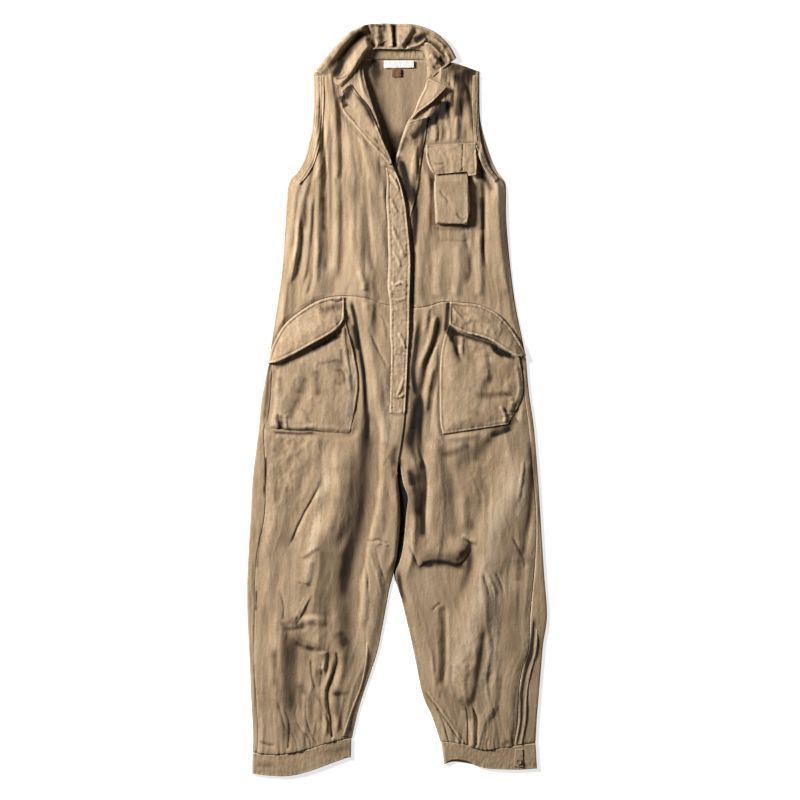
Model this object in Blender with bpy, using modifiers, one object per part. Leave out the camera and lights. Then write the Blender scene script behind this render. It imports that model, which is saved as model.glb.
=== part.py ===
"""Sleeveless jumpsuit in cotton twill, laid out flat on its back.

The frame is in metres: +X runs to the wearer's left, +Y from the hems to the collar and +Z up from the
table. The origin is on the table, under the middle of the garment. The tables are in millimetres in that
same frame. "right" and "left" are the wearer's, so the right half lies at -X.

Every cloth piece is one sheet: a grid that is fitted between the edges of its cut, lifted to its place in
the pile and given its wall by a Solidify modifier.
"""

import math

import bmesh
import bpy
import numpy as np
from mathutils import Matrix

MM = 0.001

# ---------------------------------------------------------------- driving dimensions, in millimetres
WALL = 1.5  # one layer of twill with its turned edges
THIN = 1.2  # bindings, facings and other single trims
SEAM = 0.3  # clearance between two pieces that are sewn together
LAY = 0.6  # clearance between a curved panel and what lies on it
EDGE_LIFT = WALL + SEAM  # underside of the front where it meets the back at a side
FRONT_LIFT = 4.2  # underside of the front over the rest of the back
FLY_LIFT = 5.5  # underside of the right front where it overlaps the left one
EDGE_ROLL = 16.0  # width over which the front rolls down to a side
PILE = FRONT_LIFT + WALL  # top of the front over the back
FLAP_LIFT = PILE + SEAM + WALL + LAY  # underside of a flap that lies on its pocket
WAIST_GAP = 0.4  # half the gap along the curved waist seam
FLAT_MARGIN = 16.0  # width of the flat strip along a seam or round a pocket
FOLD_EASE = 24.0  # width over which a fold flattens towards that strip
BINDING_RIGHT, BINDING_LEFT = 16.0, 11.0
FOLD_RADIUS = PILE / 2  # where cloth folds over at the outer edge of the pile
SIDE_RISE = 40.0  # stretch over which an edge's lie changes to the next one's
FLY_FOOT = {"right": -175.0, "left": -130.0}  # y below which each half lies flat at the crotch
FLY_REACH = 44.0  # x to which the left half lies low under the fly
UNDERARM, ARM_END = 0.62, 0.985  # shares of the side line between which the armhole is bound
FRONT_COLUMNS = 12  # columns of cells across a front panel
LEG_ROWS = 18  # rows of cells down a leg, the same on its front and its back
POCKET_BULGE = 4.0
FLAP_CROWN = 2.0
BUTTON_ACROSS, BUTTON_HIGH = 12.0, 2.4
BUTTON_AT = (243, -722)

TWILL = (0.49, 0.36, 0.22)
LABEL_WHITE = (0.86, 0.85, 0.83)
TAB_BROWN = (0.24, 0.12, 0.05)
BUTTON_TAN = (0.36, 0.27, 0.17)

# ---------------------------------------------------------------- seam lines and edges, as (x, y)
LINES = {
    # the curved waist seam, from the right side to the fly and from the fly to the left side
    "waist_right": [(-256, 72), (-247, 111), (-222, 154), (-176, 189), (-142, 204), (-104, 208), (-60, 203),
                    (-21, 190), (24, 186)],
    "waist_left": [(-14, 184), (26, 184), (58, 186), (92, 196), (133, 194), (165, 190), (198, 174),
                   (220, 153), (237, 129), (256, 88)],
    # bodice sides with their armholes, waist to shoulder
    "side_right": [(-256, 72), (-243, 159), (-229, 255), (-222, 351), (-214, 428), (-194, 455), (-179, 482),
                   (-171, 512), (-165, 545), (-162, 600), (-163, 656)],
    "side_left": [(256, 88), (236, 183), (226, 255), (219, 327), (216, 375), (214, 428), (196, 449),
                  (182, 470), (173, 495), (167, 520), (164, 545), (162, 600), (163, 657)],
    "back_side_right": [(-258, 70), (-245, 159), (-231, 255), (-224, 351), (-218, 430), (-200, 455),
                        (-186, 480), (-177, 512), (-170, 545), (-167, 600), (-168, 656)],
    "back_side_left": [(258, 86), (238, 183), (228, 255), (221, 327), (218, 375), (217, 430), (204, 450),
                       (193, 471), (184, 495), (176, 520), (170, 543), (166, 567), (165, 600), (165, 657)],
    # front edges, waist to neck
    "fly_right": [(24, 186), (26, 240), (27, 290), (24, 330), (20, 372), (13, 411), (6, 436), (-8, 468),
                  (-24, 508), (-37, 553), (-51, 594), (-61, 626), (-66, 650), (-68, 679)],
    "fly_left": [(-14, 184), (-16, 300), (-14, 420), (-6, 470), (2, 498), (8, 519), (15, 540), (22, 557),
                 (34, 574), (43, 600), (54, 622), (60, 646), (60, 679)],
    "shoulder_right": [(-163, 656), (-120, 668), (-68, 679)],
    "shoulder_left": [(60, 679), (114, 673), (163, 657)],
    "back_neck": [(-168, 656), (-110, 671), (-66, 680), (-6, 681), (54, 680), (110, 673), (165, 657)],
    "back_waist": [(-258, 70), (-120, 98), (0, 121), (120, 107), (258, 86)],
    # legs: outer seam, silhouette and inseam, waist to hem
    "seam_right": [(-247, 111), (-254, -15), (-265, -60), (-262, -150), (-264, -231), (-278, -300),
                   (-284, -372), (-284, -440), (-285, -520), (-281, -590), (-277, -666), (-279, -705)],
    "seam_left": [(246, 109), (254, 15), (263, -57), (272, -153), (278, -240), (275, -330), (266, -430),
                  (263, -497), (250, -540), (243, -585), (241, -642), (233, -691)],
    "outline_right": [(-258, 69), (-271, 0), (-277, -60), (-288, -150), (-293, -231), (-297, -300),
                      (-300, -372), (-299, -440), (-295, -520), (-292, -590), (-288, -666), (-289, -704)],
    "outline_left": [(258, 85), (264, 15), (274, -57), (282, -153), (288, -249), (294, -345), (300, -430),
                     (292, -490), (288, -537), (284, -585), (280, -633), (277, -685)],
    "inner_right": [(24, 186), (20, 80), (16, -26), (10, -80), (2, -130), (0, -168), (3, -194), (1, -244),
                    (-2, -300), (-7, -346), (-22, -416), (-42, -512), (-74, -608), (-90, -675)],
    "inner_left": [(-14, 184), (-15, 80), (-12, -26), (-4, -90), (6, -130), (13, -168), (22, -194),
                   (18, -226), (13, -290), (4, -345), (9, -396), (30, -488), (50, -584), (70, -632),
                   (87, -682)],
    "back_inner_right": [(-1, 119), (-2, -40), (-6, -130), (-9, -168), (-8, -194), (-9, -244), (-11, -300),
                         (-14, -346), (-24, -416), (-43, -512), (-75, -608), (-91, -675)],
    "back_inner_left": [(1, 119), (0, -40), (-4, -130), (-7, -168), (-6, -194), (-7, -244), (-9, -300),
                        (-3, -352), (10, -396), (31, -488), (51, -584), (71, -632), (88, -682)],
    # hems, from -X to +X
    "hem_right": [(-279, -705), (-250, -708), (-218, -706), (-176, -697), (-128, -682), (-90, -675)],
    "hem_left": [(87, -682), (107, -683), (136, -688), (168, -698), (192, -698), (233, -691)],
    # cuffs: the seam to the leg and the free edge, from -X to +X
    "cuff_top_right": [(-289, -706), (-250, -709), (-218, -707), (-176, -698), (-128, -683), (-91, -676)],
    "cuff_end_right": [(-290, -746), (-261, -750), (-218, -751), (-176, -742), (-116, -721), (-92, -714)],
    "cuff_top_left": [(88, -683), (107, -684), (136, -689), (168, -699), (192, -699), (233, -692),
                      (277, -686)],
    "cuff_end_left": [(94, -727), (112, -723), (144, -727), (180, -736), (228, -738), (253, -738),
                      (280, -736)],
}

# pieces laid on a panel: the left and right edges of each, from its lower to its upper end
PATCHES = {
    "fly_placket": dict(
        left=[(-14, -26), (-13, 30), (-11, 96), (-13, 130), (-14, 195), (-18, 228), (-16, 278), (-17, 320),
              (-18, 359), (-20, 386), (-20, 411), (-19, 440), (-22, 464)],
        right=[(16, -26), (19, 30), (22, 96), (24, 130), (25, 195), (26, 228), (27, 278), (24, 320),
               (20, 359), (17, 386), (12, 411), (5, 436), (-3, 455)],
    ),
    "under_placket": dict(
        left=[(-12, -22), (-13, 100), (-14, 300), (-12, 420), (-4, 470), (4, 498), (10, 519), (17, 540),
              (24, 556)],
        right=[(13, -22), (17, 60), (20, 195), (22, 290), (25, 350), (36, 400), (44, 440), (50, 490),
               (57, 525), (60, 548), (62, 566)],
    ),
    "front_facing_right": dict(
        left=[(-15, 469), (-31, 489), (-53, 511), (-70, 531), (-88, 552), (-106, 574), (-113, 594),
              (-109, 608), (-112, 618)],
        right=[(-10, 472), (-18, 493), (-28, 514), (-38, 540), (-48, 566), (-59, 588), (-71, 602),
               (-81, 614), (-92, 630)],
    ),
    "lapel_left": dict(
        left=[(27, 562), (35, 575), (45, 600), (56, 622), (63, 641)],
        right=[(31, 562), (42, 574), (70, 594), (86, 610), (99, 624)],
    ),
    "chest_pocket": dict(
        left=[(78, 352), (76, 390), (75, 418), (77, 470)],
        right=[(139, 351), (144, 380), (143, 410), (139, 470)],
    ),
    "chest_flap": dict(
        left=[(74, 440), (65, 462), (59, 484), (58, 509)],
        right=[(158, 448), (159, 470), (158, 490), (157, 513)],
    ),
    "hip_pocket_right": dict(
        left=[(-261, -58), (-252, -15), (-247, 40), (-240, 84), (-234, 98)],
        right=[(-92, -70), (-80, -20), (-78, 30), (-84, 90), (-108, 178)],
    ),
    "hip_pocket_left": dict(
        left=[(92, -68), (87, -40), (86, 25), (88, 90), (104, 178)],
        right=[(221, -46), (237, -12), (247, 22), (244, 60), (240, 104)],
    ),
    "hip_flap_right": dict(
        left=[(-257, 73), (-247, 109), (-222, 152), (-176, 187), (-142, 202), (-106, 206)],
        right=[(-240, 76), (-211, 89), (-176, 108), (-142, 127), (-119, 143), (-106, 162)],
    ),
    "hip_flap_left": dict(
        left=[(106, 196), (133, 193), (165, 189), (198, 173), (220, 152), (237, 128), (257, 90)],
        right=[(105, 150), (118, 142), (140, 133), (165, 127), (187, 119), (209, 105), (240, 86)],
    ),
    "vent_placket_right": dict(
        left=[(-109, -671), (-92, -620), (-73, -570), (-63, -521), (-60, -468)],
        right=[(-96, -671), (-82, -620), (-62, -570), (-52, -521), (-49, -470)],
    ),
    "vent_placket_left": dict(
        left=[(238, -687), (246, -642), (248, -585), (255, -542), (268, -500), (271, -440)],
        right=[(249, -687), (257, -642), (260, -588), (267, -545), (278, -502), (282, -440)],
    ),
    "neck_label": dict(left=[(-26, 663), (-26, 678)], right=[(34, 664), (34, 678)]),
    "hanger_loop": dict(left=[(-11, 646), (-11, 662)], right=[(8, 646), (8, 662)]),
    "cuff_tab_left": dict(left=[(233, -731), (236, -697)], right=[(252, -733), (251, -697)]),
}
FOLD_FREE_PATCHES = ("fly_placket", "under_placket", "chest_pocket", "chest_flap", "hip_pocket_right",
                     "hip_pocket_left", "hip_flap_right", "hip_flap_left", "lapel_left")

# the collar, station by station round the neck from the right front edge to the left one: the roll line
# and the outer fold, their heights and the crown between them, and how far and how low the fall turns back
COLLAR = [
    dict(roll=(-112, 625), outer=(-163, 659), roll_z=8.2, crown_z=12, outer_z=10, tuck=10, fall_z=6.5),
    dict(roll=(-100, 637), outer=(-150, 673), roll_z=10, crown_z=18, outer_z=12, tuck=12, fall_z=6.5),
    dict(roll=(-86, 656), outer=(-126, 704), roll_z=12, crown_z=23, outer_z=12, tuck=16, fall_z=2),
    dict(roll=(-76, 678), outer=(-102, 729), roll_z=12, crown_z=24, outer_z=12, tuck=24, fall_z=0),
    dict(roll=(-62, 696), outer=(-72, 746), roll_z=11, crown_z=24, outer_z=13, tuck=34, fall_z=0),
    dict(roll=(-36, 700), outer=(-38, 751), roll_z=11, crown_z=24, outer_z=13, tuck=40, fall_z=0),
    dict(roll=(-4, 699), outer=(0, 751), roll_z=11, crown_z=23, outer_z=13, tuck=42, fall_z=0),
    dict(roll=(30, 700), outer=(34, 750), roll_z=11, crown_z=24, outer_z=13, tuck=40, fall_z=0),
    dict(roll=(52, 695), outer=(64, 741), roll_z=11, crown_z=25, outer_z=12, tuck=30, fall_z=0),
    dict(roll=(57, 680), outer=(86, 727), roll_z=12, crown_z=24, outer_z=12, tuck=22, fall_z=0),
    dict(roll=(61, 664), outer=(106, 706), roll_z=12, crown_z=20, outer_z=12, tuck=16, fall_z=2),
    dict(roll=(72, 646), outer=(119, 683), roll_z=8.2, crown_z=13, outer_z=10, tuck=12, fall_z=6.5),
]
COLLAR_FACE, COLLAR_TURN, COLLAR_FALL = 5, 4, 2  # rows of the collar's face, of its fold and of its fall

# the band inside the back neck, from its seam up to under the roll line
NECK_BAND = dict(
    seam=[(-86, 646), (-74, 668), (-64, 681), (-34, 682), (-4, 682), (26, 682), (54, 681)],
    roll=[(-98, 650), (-88, 676), (-66, 697), (-36, 702), (-4, 701), (30, 702), (58, 694)],
)
BAND_TOP = 11 - 2 * WALL - LAY  # underside of the band's upper edge, below the collar's roll line

# the largest folds of the front: centre line, half width and height
FOLDS = [
    dict(line=[(-134, 610), (-142, 400), (-152, 230)], half=24, high=6),
    dict(line=[(-92, 500), (-98, 360), (-104, 235)], half=20, high=5),
    dict(line=[(-192, 400), (-206, 260), (-224, 160)], half=20, high=6),
    dict(line=[(-58, 440), (-60, 340), (-62, 235)], half=18, high=5),
    dict(line=[(-50, 170), (-46, 20), (-58, -150)], half=18, high=7),
    dict(line=[(-140, -100), (-166, -220), (-206, -330)], half=30, high=9),
    dict(line=[(-66, -170), (-58, -300), (-62, -420)], half=26, high=8),
    dict(line=[(-236, -400), (-246, -520), (-240, -670)], half=24, high=7),
    dict(line=[(-160, -470), (-150, -600), (-156, -680)], half=26, high=8),
    dict(line=[(-100, -450), (-112, -560), (-122, -650)], half=20, high=6),
    dict(line=[(96, 640), (106, 590), (110, 545)], half=20, high=6),
    dict(line=[(182, 420), (194, 300), (214, 200)], half=22, high=6),
    dict(line=[(60, 400), (64, 310), (66, 225)], half=16, high=4),
    dict(line=[(136, 330), (146, 280), (150, 215)], half=22, high=6),
    dict(line=[(62, 160), (60, 40), (48, -100)], half=18, high=7),
    dict(line=[(110, -100), (92, -200), (96, -300)], half=28, high=9),
    dict(line=[(214, -90), (190, -220), (156, -340)], half=32, high=9),
    dict(line=[(150, -370), (136, -500), (140, -650)], half=30, high=8),
    dict(line=[(248, -120), (246, -260), (228, -400)], half=24, high=6),
    dict(line=[(200, -420), (194, -540), (200, -670)], half=24, high=6),
]


# ---------------------------------------------------------------- lines and heights
def smooth_line(points):
    """A close polyline on the Catmull-Rom curve through the points, with the share of its length at each."""
    steps = 8
    p = [np.array(q, float) for q in points]
    guides = [2 * p[0] - p[1], *p, 2 * p[-1] - p[-2]]
    fine = []
    for a, b, c, d in zip(guides, guides[1:], guides[2:], guides[3:]):
        for t in np.arange(steps) / steps:
            bend = (2 * a - 5 * b + 4 * c - d) * t**2 + (3 * b - a - 3 * c + d) * t**3
            fine.append((2 * b + (c - a) * t + bend) / 2)
    fine.append(p[-1])
    fine = np.array(fine)
    along = np.concatenate([[0], np.cumsum(np.linalg.norm(np.diff(fine, axis=0), axis=1))])
    return fine, along / along[-1]


def place_on(points, share):
    """The place at each share of a smooth line's length."""
    fine, along = smooth_line(points)
    return np.stack([np.interp(share, along, fine[:, k]) for k in range(2)], axis=-1)


def smoothstep(x):
    t = np.clip(x, 0, 1)
    return t * t * (3 - 2 * t)


def distance_to(points, x, y):
    """The distance from each place to a smooth line, and the share of its length where it is nearest."""
    fine, along = smooth_line(points)
    best = np.full(x.shape, 1e9)
    share = np.zeros(x.shape)
    for a, b, s0, s1 in zip(fine, fine[1:], along, along[1:]):
        ab = b - a
        t = np.clip(((x - a[0]) * ab[0] + (y - a[1]) * ab[1]) / max(ab @ ab, 1e-9), 0, 1)
        d = np.hypot(x - a[0] - t * ab[0], y - a[1] - t * ab[1])
        nearer = d < best
        best = np.where(nearer, d, best)
        share = np.where(nearer, s0 + (s1 - s0) * t, share)
    return best, share


def inside(points, x, y):
    """True where a place is inside the closed outline through the points."""
    within = np.zeros(x.shape, bool)
    for (x0, y0), (x1, y1) in zip(points, [*points[1:], points[0]]):
        if y0 != y1:
            crosses = (y0 > y) != (y1 > y)
            within ^= crosses & (x < x0 + (y - y0) * (x1 - x0) / (y1 - y0))
    return within


def clear_of_patches(x, y):
    """0 on and 1 well away from the pockets, flaps and plackets."""
    free = np.ones(x.shape)
    for name in FOLD_FREE_PATCHES:
        cut = PATCHES[name]
        outline = [*cut["left"], *cut["right"][::-1]]
        away = distance_to([*outline, outline[0]], x, y)[0]
        eased = smoothstep((away - FLAT_MARGIN) / FOLD_EASE)
        free = np.minimum(free, np.where(inside(outline, x, y), 0, eased))
    return free


def folds_at(x, y):
    """How far the folds lift the front above its lie."""
    lift = np.zeros(x.shape)
    for fold in FOLDS:
        d, s = distance_to(fold["line"], x, y)
        across = 0.5 + 0.5 * np.cos(math.pi * np.clip(d / fold["half"], 0, 1))
        lift = np.maximum(lift, fold["high"] * across * smoothstep(4 * s) * smoothstep(4 * (1 - s)))
    return lift


def front_lie(side, x, y):
    """The underside of a front half, without its folds. It rolls down to the back along its free sides,
    and at the fly the left half lies low and the right half lies over it."""
    full = FRONT_LIFT - EDGE_LIFT
    at_side = smoothstep(distance_to(LINES[f"side_{side}"], x, y)[0] / EDGE_ROLL)
    in_bodice = smoothstep((y - SIDE_RISE) / SIDE_RISE)
    at_inseam = smoothstep(distance_to(LINES[f"inner_{side}"][4:], x, y)[0] / EDGE_ROLL)
    at_fly = smoothstep((y - FLY_FOOT[side]) / SIDE_RISE)
    roll = (1 - in_bodice * (1 - at_side)) * (at_inseam + (1 - at_inseam) * at_fly)
    z = EDGE_LIFT + full * roll
    if side == "right":
        return z + (FLY_LIFT - FRONT_LIFT) * smoothstep((x + 60) / 30) * at_fly
    low = (1 - smoothstep((x - FLY_REACH) / SIDE_RISE)) * at_fly
    return np.minimum(z, EDGE_LIFT + full * (1 - low))


def front_height(side, x, y):
    """The underside of a front half with its folds, which flatten at its seams and under what lies on it."""
    free = clear_of_patches(x, y)
    for name in ("side", "waist", "seam", "inner", "fly", "hem", "shoulder"):
        away = distance_to(LINES[f"{name}_{side}"], x, y)[0]
        free = np.minimum(free, smoothstep((away - FLAT_MARGIN) / FOLD_EASE))
    return front_lie(side, x, y) + folds_at(x, y) * free


# ---------------------------------------------------------------- sheets
def material_named(name, color, roughness):
    made = bpy.data.materials.new(name)
    made.use_nodes = True
    shader = made.node_tree.nodes["Principled BSDF"]
    shader.inputs["Base Color"].default_value = (*color, 1)
    shader.inputs["Roughness"].default_value = roughness
    made.diffuse_color = (*color, 1)
    return made


def grid_shares(columns, rows):
    """A unit grid as a bmesh, with the share across and the share along of each of its vertices."""
    bm = bmesh.new()
    bmesh.ops.create_grid(bm, x_segments=columns, y_segments=rows, size=0.5)
    co = np.array([v.co for v in bm.verts])
    return bm, co[:, 0] + 0.5, co[:, 1] + 0.5


def add_piece(name, bm, xy, z, material, wall, offset=1.0):
    """Moves the mesh to its places, in millimetres, and adds the object with its cloth wall. The wall lies
    above the surface with an offset of 1 and below it with -1."""
    for vertex, place in zip(bm.verts, np.column_stack([xy, z]) * MM):
        vertex.co = place
    mesh = bpy.data.meshes.new(name)
    bm.to_mesh(mesh)
    bm.free()
    mesh.shade_smooth()
    piece = bpy.data.objects.new(name, mesh)
    piece.data.materials.append(material)
    piece.parent = garment_root
    garment.objects.link(piece)
    solidify = piece.modifiers.new("wall", "SOLIDIFY")
    solidify.thickness = wall * MM
    solidify.offset = offset


def between(bottom, top, left, right, u, v):
    """A Coons patch: the places at share u across and v along, inside the four edges of a cut."""
    b, t, lf, rt = place_on(bottom, u), place_on(top, u), place_on(left, v), place_on(right, v)
    u, v = u[:, None], v[:, None]
    p00, p10, p01, p11 = (np.array(q, float) for q in (bottom[0], bottom[-1], top[0], top[-1]))
    corners = (1 - u) * (1 - v) * p00 + u * (1 - v) * p10 + (1 - u) * v * p01 + u * v * p11
    return (1 - v) * b + v * t + (1 - u) * lf + u * rt - corners


def beside(line, distance):
    """The line moved to its left by a distance: upwards where it runs along +X."""
    fine = smooth_line(line)[0]
    ahead = np.gradient(fine, axis=0)
    ahead /= np.linalg.norm(ahead, axis=1)[:, None]
    moved = fine + np.column_stack([-ahead[:, 1], ahead[:, 0]]) * distance
    return moved[::4].tolist()


def from_corner(corner, line):
    """A line whose first point is a shifted corner."""
    return [corner, *line[1:]]


# ---------------------------------------------------------------- panels
def seam_share(side):
    """The share along the waist seam at which the leg's outer seam meets it."""
    corner = np.array(LINES[f"seam_{side}"][0], float)
    return distance_to(LINES[f"waist_{side}"], corner[:1], corner[1:])[1][0]


def add_front_bodice(side):
    """A front half. One column reaches past the leg's outer seam and the others meet the leg's columns."""
    waist = beside(LINES[f"waist_{side}"], WAIST_GAP)
    outer = LINES[f"side_{side}"]
    fly = LINES[f"fly_{side}"]
    left, right = (outer, fly) if side == "right" else (fly, outer)
    bm, u, v = grid_shares(FRONT_COLUMNS + 1, 14)
    columns = np.rint(u * (FRONT_COLUMNS + 1))
    share = seam_share(side)
    if side == "right":
        u = np.interp(columns, [0, 1, FRONT_COLUMNS + 1], [0, share, 1])
    else:
        u = np.interp(columns, [0, FRONT_COLUMNS, FRONT_COLUMNS + 1], [0, share, 1])
    left, right = from_corner(waist[0], left), from_corner(waist[-1], right)
    xy = between(waist, LINES[f"shoulder_{side}"], left, right, u, v)
    add_piece(f"front_bodice_{side}", bm, xy, front_height(side, *xy.T), twill, WALL)


def add_front_leg(side):
    """A front leg, from the part of the waist seam inside its outer seam down to its hem."""
    waist, seam, inner = (LINES[f"{name}_{side}"] for name in ("waist", "seam", "inner"))
    ends = (seam_share(side), 1) if side == "right" else (0, seam_share(side))
    top = place_on(beside(waist, -WAIST_GAP), np.linspace(*ends, 3 * FRONT_COLUMNS + 1)).tolist()
    left, right = (seam, inner) if side == "right" else (inner, seam)
    left, right = from_corner(top[0], left)[::-1], from_corner(top[-1], right)[::-1]
    bm, u, v = grid_shares(FRONT_COLUMNS, LEG_ROWS)
    xy = between(LINES[f"hem_{side}"], top, left, right, u, v)
    add_piece(f"front_leg_{side}", bm, xy, front_height(side, *xy.T), twill, WALL)


def add_back_bodice():
    waist = beside(LINES["back_waist"], WAIST_GAP)
    left = from_corner(waist[0], LINES["back_side_right"])
    right = from_corner(waist[-1], LINES["back_side_left"])
    bm, u, v = grid_shares(8, 12)
    xy = between(waist, LINES["back_neck"], left, right, u, v)
    add_piece("back_bodice", bm, xy, np.zeros(len(u)), twill, WALL)


def add_back_leg(side):
    """A back leg: flat on the table, round the outer fold and over to the seam on the front."""
    flat, bend, strip = 7, 3, 1
    columns = flat + bend + strip
    bm, u, v = grid_shares(columns, LEG_ROWS)
    step = np.rint(u * columns)
    if side == "right":
        step = columns - step
    names = (f"seam_{side}", f"outline_{side}", f"back_inner_{side}")
    seam, outline, inner = (place_on(LINES[name], 1 - v) for name in names)
    outward = outline - inner
    outward /= np.linalg.norm(outward, axis=1)[:, None]
    run = np.clip(step / flat, 0, 1)
    turn = np.clip((step - flat) / bend, 0, 1) * math.pi
    xy = inner + (outline - outward * FOLD_RADIUS - inner) * run[:, None]
    xy = xy + outward * (np.sin(turn) * FOLD_RADIUS)[:, None]
    xy[:, 1] += (1 - v) ** 3 * hem_sag(side, xy[:, 0])
    sewn = (step == columns)[:, None]
    xy = np.where(sewn, seam + outward * 2 * SEAM, xy)
    add_piece(f"back_leg_{side}", bm, xy, FOLD_RADIUS * (1 - np.cos(turn)), twill, WALL)


def hem_sag(side, x):
    """How far the curved hem lies above the straight line between its ends."""
    fine = smooth_line(beside(LINES[f"cuff_top_{side}"], 2 * WAIST_GAP))[0]
    straight = np.interp(x, fine[[0, -1], 0], fine[[0, -1], 1])
    return np.interp(x, fine[:, 0], fine[:, 1]) - straight


def add_cuff(side):
    """A flattened ring of cloth: the front wall above, the back wall on the table, a fold at each end."""
    wide, fold = 12, 4
    around = 2 * (wide + fold)
    bm = bmesh.new()
    bmesh.ops.create_cone(bm, cap_ends=False, segments=around, radius1=1, radius2=1, depth=2)
    co = np.array([vertex.co for vertex in bm.verts])
    step = np.rint((np.arctan2(co[:, 1], co[:, 0]) / (2 * math.pi) % 1) * around) % around
    # the steps run over the front from -X, round the fold at +X, back underneath and round the other fold
    marks = [0, wide, wide + fold, 2 * wide + fold, around]
    share = np.interp(step, marks, [0, 1, 1, 0, 0])
    turn = np.interp(step, marks, [0, 0, math.pi, math.pi, 2 * math.pi])
    top, end = (place_on(LINES[f"cuff_{edge}_{side}"], share) for edge in ("top", "end"))
    xy = np.where(co[:, 2:] > 0, top, end)
    xy[:, 0] += FOLD_RADIUS * (1 - 2 * share) + FOLD_RADIUS * np.sin(turn)
    add_piece(f"cuff_{side}", bm, xy, FOLD_RADIUS * (1 + np.cos(turn)), twill, WALL, -1.0)


def add_collar():
    """The collar rises from the roll line, folds over along its outer line and its fall turns back."""
    rows = COLLAR_FACE + COLLAR_TURN + COLLAR_FALL
    bm, u, v = grid_shares(2 * (len(COLLAR) - 1), rows)
    marks = np.arange(len(COLLAR)) / (len(COLLAR) - 1)

    def column(key):
        return np.interp(u, marks, [row[key] for row in COLLAR])

    roll, outer = (place_on([row[key] for row in COLLAR], u) for key in ("roll", "outer"))
    step = np.rint(v * rows)
    t = np.clip(step / COLLAR_FACE, 0, 1)
    turn = np.clip((step - COLLAR_FACE) / COLLAR_TURN, 0, 1) * math.pi / 2
    fall = np.clip((step - COLLAR_FACE - COLLAR_TURN) / COLLAR_FALL, 0, 1)
    inward = roll - outer
    inward /= np.linalg.norm(inward, axis=1)[:, None]
    drop = column("outer_z") - column("fall_z")
    back = 0.4 * drop * (1 - np.cos(turn)) + (column("tuck") - 0.4 * drop) * fall
    xy = roll + (outer - roll) * t[:, None] + inward * back[:, None]
    middle = (column("roll_z") + column("outer_z")) / 2
    z = column("roll_z") * (1 - t) + column("outer_z") * t
    z = z + 4 * t * (1 - t) * (column("crown_z") - middle) - drop * np.sin(turn)
    add_piece("collar", bm, xy, z, twill, WALL, -1.0)


def add_neck_band():
    """The band stands up off the back neck seam to just under the roll line. Its right end lies flat between
    the back and the front."""
    bm, u, v = grid_shares(14, 3)
    low, high = place_on(NECK_BAND["seam"], u), place_on(NECK_BAND["roll"], u)
    xy = low + (high - low) * v[:, None]
    standing = smoothstep((u - 0.22) / 0.12)
    z = EDGE_LIFT + (BAND_TOP - EDGE_LIFT) * v * standing
    add_piece("neck_band", bm, xy, z, twill, WALL)


# ---------------------------------------------------------------- pieces laid on the panels
def add_patch(name, height, columns, rows, material=None, wall=WALL):
    """A piece between its left and right edges. Its height reads each place and its shares u and v."""
    cut = PATCHES[name]
    bm, u, v = grid_shares(columns, rows)
    left, right = place_on(cut["left"], v), place_on(cut["right"], v)
    xy = left + (right - left) * u[:, None]
    add_piece(name, bm, xy, height(*xy.T, u, v), material or twill, wall)


def dome(u, v):
    """1 in the middle of a piece and 0 along its edges."""
    return np.clip(4 * u * (1 - u), 0, 1) ** 0.5 * np.clip(4 * v * (1 - v), 0, 1) ** 0.5


def on_front(side, clearance):
    return lambda x, y, u, v: front_height(side, x, y) + WALL + clearance


def level(z, crown=0.0):
    return lambda x, y, u, v: z + crown * dome(u, v)


def pocket_height(x, y, u, v):
    """A patch pocket is sewn down at both sides and its foot, and bellies out below the flap."""
    return PILE + SEAM + POCKET_BULGE * dome(u, np.clip(v * 1.6, 0, 1))


def add_armhole_binding(side, outer, wide):
    """A strip along the armhole, from the underarm to the shoulder, inside the front's edge."""
    bm, u, v = grid_shares(2, 12)
    share = UNDERARM + (ARM_END - UNDERARM) * v
    edge = place_on(outer, share)
    ahead = place_on(outer, np.clip(share + 0.01, 0, 1)) - place_on(outer, share - 0.01)
    ahead /= np.linalg.norm(ahead, axis=1)[:, None]
    inward = np.column_stack([ahead[:, 1], -ahead[:, 0]]) * (1 if side == "right" else -1)
    offset = (u if side == "right" else 1 - u) * wide + SEAM
    xy = edge + inward * offset[:, None]
    z = front_height(side, *xy.T) + WALL + LAY
    add_piece(f"armhole_binding_{side}", bm, xy, z, twill, THIN)


def add_cuff_button():
    """The button on the cuff tab, a bevelled disc."""
    bm = bmesh.new()
    radius = BUTTON_ACROSS * MM / 2
    seat = PILE + SEAM + THIN + SEAM
    centre = (BUTTON_AT[0] * MM, BUTTON_AT[1] * MM, (seat + BUTTON_HIGH / 2) * MM)
    bmesh.ops.create_cone(bm, cap_ends=True, segments=20, radius1=radius, radius2=0.87 * radius,
                          depth=BUTTON_HIGH * MM, matrix=Matrix.Translation(centre))
    mesh = bpy.data.meshes.new("cuff_button_left")
    bm.to_mesh(mesh)
    bm.free()
    button = bpy.data.objects.new("cuff_button_left", mesh)
    button.data.materials.append(button_horn)
    button.parent = garment_root
    garment.objects.link(button)


# ---------------------------------------------------------------- the garment
for old in list(bpy.data.objects):
    bpy.data.objects.remove(old)
garment = bpy.data.collections.new("sleeveless_jumpsuit")
bpy.context.scene.collection.children.link(garment)
garment_root = bpy.data.objects.new("jumpsuit_root", None)
garment.objects.link(garment_root)
twill = material_named("cotton_twill", TWILL, 0.85)
label_cloth = material_named("label_satin", LABEL_WHITE, 0.5)
tab_cloth = material_named("tab_brown", TAB_BROWN, 0.6)
button_horn = material_named("button_horn", BUTTON_TAN, 0.35)

add_back_bodice()
for half in ("right", "left"):
    add_front_bodice(half)
    add_front_leg(half)
    add_back_leg(half)
    add_cuff(half)
add_collar()
add_neck_band()

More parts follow.
